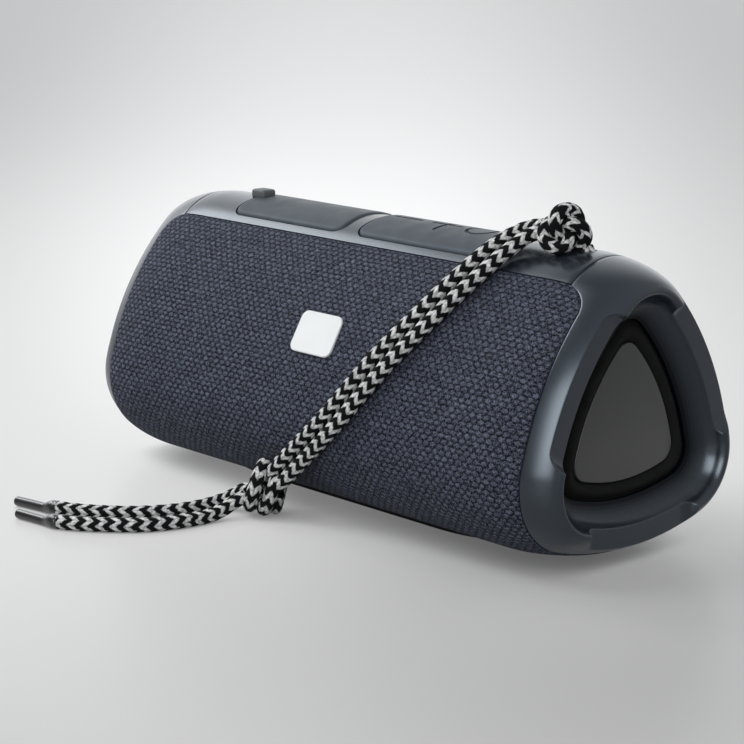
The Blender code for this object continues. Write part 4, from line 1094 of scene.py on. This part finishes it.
# Stage: a glow and a sweep, each laid on the floor as it shows from one fixed point in front
FLOOR_SIZE = 24
FLOOR_DROP = 0.02 * MM
FLOOR_NEAR = (0.90, 0.88, 0.866)
FLOOR_FAR = (0.44, 0.430, 0.422)
FLOOR_BOUNCE = (0.42, 0.42, 0.42)
GLOW_FROM = (0.469, -0.449, 0.182)
GLOW_AHEAD = (-0.732, 0.681, 0)
GLOW_ASIDE = (0.681, 0.732, 0)
GLOW_LEAST = 0.05
GLOW_MIDDLE = (-0.01, 0.13)
GLOW_SPREAD = (0.18, 0.22)
GLOW_FADE = (0.1, 1.05)
# Painted light: a paler patch on the floor just in front of the object
PAINTED_LIGHT_PLACE = (0.08, -0.045, 0)
PAINTED_LIGHT_REACH = (0.03, 0.125)
PAINTED_LIGHT_LIFT = 0.36
SWEEP_SHARE = 0.5
SWEEP_MIDDLE = (0.0, 0.25)
SWEEP_SPREAD = (0.15, 0.25)
SWEEP_FAN = 1.0
SWEEP_FADE = (0.25, 1.15)
SWEEP_NEAR = (0.95, 0.95, 0.95)
SWEEP_FAR = (0.45, 0.45, 0.45)
# Painted shadow under the right end cap: the sweep dims near this place
PAINTED_SHADOW_PLACE = (0.115, -0.04, 0)
PAINTED_SHADOW_REACH = (0.03, 0.17)
PAINTED_SHADOW_LEVEL = 0.48
# Painted contact shadow: the sweep darkens where the object hems the floor in
CONTACT_REACH = 50 * MM
CONTACT_FADE = (0.05, 0.45)
CONTACT_LEVEL = 0.42


def floor_point(shader):
    return shader.node("ShaderNodeNewGeometry").outputs["Position"]


def distance_from(shader, point):
    return shader.measure("DISTANCE", floor_point(shader), point)


def sweep_distance(shader, middle, spread, fan=0.0):
    """How far a floor point is from the glow's middle, seen from the front; a fan narrows it further back."""
    place = shader.apart(floor_point(shader), GLOW_FROM)
    ahead = shader.math("MAXIMUM", shader.measure("DOT_PRODUCT", place, GLOW_AHEAD), GLOW_LEAST)
    aside = shader.measure("DOT_PRODUCT", place, GLOW_ASIDE)
    seen = (shader.over(aside, shader.plus(ahead, fan)), shader.over(GLOW_FROM[2], ahead))
    total = 0.0
    for value, centre, reach in zip(seen, middle, spread):
        off = shader.over(shader.minus(value, centre), reach)
        total = shader.plus(shader.times(off, off), total)
    return shader.math("SQRT", total)


def seen_directly(shader):
    """1 for camera, mirror and see-through rays, which show the background, and 0 for light on things."""
    rays = shader.node("ShaderNodeLightPath").outputs
    seen = shader.math("MAXIMUM", rays["Is Camera Ray"], rays["Is Glossy Ray"])
    return shader.math("MAXIMUM", seen, rays["Is Transmission Ray"])


def make_stage():
    """A pale floor with a soft glow across it, as on a lit studio sweep, which keeps the object's shadow; painted
    light in front of the object, a painted shadow under its right end and a painted contact shadow change how it
    shows.
    """
    bpy.ops.mesh.primitive_plane_add(size=FLOOR_SIZE, location=(0, 0, -FLOOR_DROP))
    floor = bpy.context.object
    floor.name = "floor"
    shader = Shader("floor_grey", FLOOR_BOUNCE, roughness=0.32, specular_ior_level=0.2)
    # Painted light: the floor shows paler near the patch's place
    painted_light = shader.remap(distance_from(shader, PAINTED_LIGHT_PLACE), *PAINTED_LIGHT_REACH, PAINTED_LIGHT_LIFT, 0.0)
    glow = shader.remap(sweep_distance(shader, GLOW_MIDDLE, GLOW_SPREAD), *GLOW_FADE)
    seen = seen_directly(shader)
    shown = shader.mix(shader.minus(glow, painted_light), FLOOR_NEAR, FLOOR_FAR)
    shader.set("Base Color", shader.mix(seen, FLOOR_BOUNCE, shown))
    fade = shader.remap(sweep_distance(shader, SWEEP_MIDDLE, SWEEP_SPREAD, SWEEP_FAN), *SWEEP_FADE)
    # Painted contact shadow from ambient occlusion
    contact = shader.node("ShaderNodeAmbientOcclusion", samples=16)
    shader.put(contact.inputs["Distance"], CONTACT_REACH)
    shaded = shader.remap(contact.outputs["AO"], *CONTACT_FADE, CONTACT_LEVEL, 1.0)
    # Painted shadow: the sweep is dimmer near the right end cap
    painted_shadow = shader.remap(distance_from(shader, PAINTED_SHADOW_PLACE), *PAINTED_SHADOW_REACH, PAINTED_SHADOW_LEVEL, 1.0)
    sweep = shader.node("ShaderNodeEmission", shader.mix(fade, SWEEP_NEAR, SWEEP_FAR), shader.times(painted_shadow, shaded))
    both = shader.node("ShaderNodeMixShader", shader.times(seen, SWEEP_SHARE), shader.principled.outputs[0],
                       sweep.outputs[0])
    shader.put(shader.tree.nodes["Material Output"].inputs["Surface"], both.outputs[0])
    floor.data.materials.append(shader.material)


# Light: each sky lobe has a direction and a ramp, each lamp a place, a size and a power
LIGHT_TINT = (0.955, 0.98, 1.0)
LIGHT_AIM = (0, 0, 0.05)
HORIZON = 0.43
SKY_LOBES = (
    ((-0.75, 0.61, 0.26), (0.45, 1.0, 0.26, 1.62)),
    ((0.86, 0.20, 0.47), (0.0, 0.9, 0.0, 0.42)),
)
SOFTBOXES = {
    "key_softbox": ((-0.42, -0.48, 0.85), (0.40, 0.40), 4.0),
    "left_softbox": ((-0.66, -0.14, 0.53), (0.36, 0.36), 2.3),
    "front_softbox": ((0.45, -1.0, 0.52), (0.40, 0.70), 3.4),
}
GLOSS_CARD = ((0.48, -0.98, 0.45), (0.75, 0.75), 5.6)


def area_light(name, place, size, power):
    light = bpy.data.lights.new(name, "AREA")
    light.shape = "RECTANGLE"
    light.size, light.size_y = size
    light.energy = power
    light.color = LIGHT_TINT
    obj = add_object(name, light)
    obj.location = place
    obj.rotation_euler = (Vector(LIGHT_AIM) - Vector(place)).to_track_quat("-Z", "Y").to_euler()
    return obj


def make_light():
    """A sky bright behind and on the left, soft boxes, and a card that shows in reflections only."""
    world = bpy.data.worlds.new("studio")
    bpy.context.scene.world = world
    world.use_nodes = True
    sky = Nodes(world.node_tree)
    towards = sky.node("ShaderNodeTexCoord").outputs["Generated"]
    lobes = [sky.remap(sky.measure("DOT_PRODUCT", towards, middle), *ramp) for middle, ramp in SKY_LOBES]
    camera_ray = sky.node("ShaderNodeLightPath").outputs["Is Camera Ray"]
    background = sky.tree.nodes["Background"]
    sky.put(background.inputs["Strength"], sky.choose(camera_ray, sky.plus(*lobes), HORIZON))
    sky.put(background.inputs["Color"], (*LIGHT_TINT, 1))
    for name, lamp in SOFTBOXES.items():
        area_light(name, *lamp)
    area_light("front_gloss_card", *GLOSS_CARD).visible_diffuse = False


# Camera, fitted to the photograph
CAMERA_PLACE = (0.46909, -0.44926, 0.18177)
CAMERA_RIGHT = (0.68151, 0.73173, 0.01045)
CAMERA_UP = (-0.16530, 0.14002, 0.97625)
CAMERA_LENS = 105.86
CAMERA_SENSOR = 36
CAMERA_CLIP = (0.01, 50)


def make_camera():
    data = bpy.data.cameras.new("camera")
    data.lens = CAMERA_LENS
    data.sensor_width = CAMERA_SENSOR
    data.clip_start, data.clip_end = CAMERA_CLIP
    camera = add_object("camera", data)
    right, up = Vector(CAMERA_RIGHT).normalized(), Vector(CAMERA_UP).normalized()
    turn = Matrix((right, up, right.cross(up))).transposed().to_4x4()
    camera.matrix_world = Matrix.Translation(CAMERA_PLACE) @ turn
    bpy.context.scene.camera = camera


def main():
    dress_solids()
    make_fabric()
    make_strip()
    make_keypad()
    make_port_cover()
    make_hinge_strap()
    for sign, word in ((-1, "front"), (1, "rear")):
        make_foot(sign, word)
    for side, word in ((-1, "left"), (1, "right")):
        make_end_cap(side, word)
        make_radiator(side, word)
    make_lanyard()
    make_stage()
    make_light()
    make_camera()
    bpy.context.scene.view_settings.view_transform = "Standard"


main()
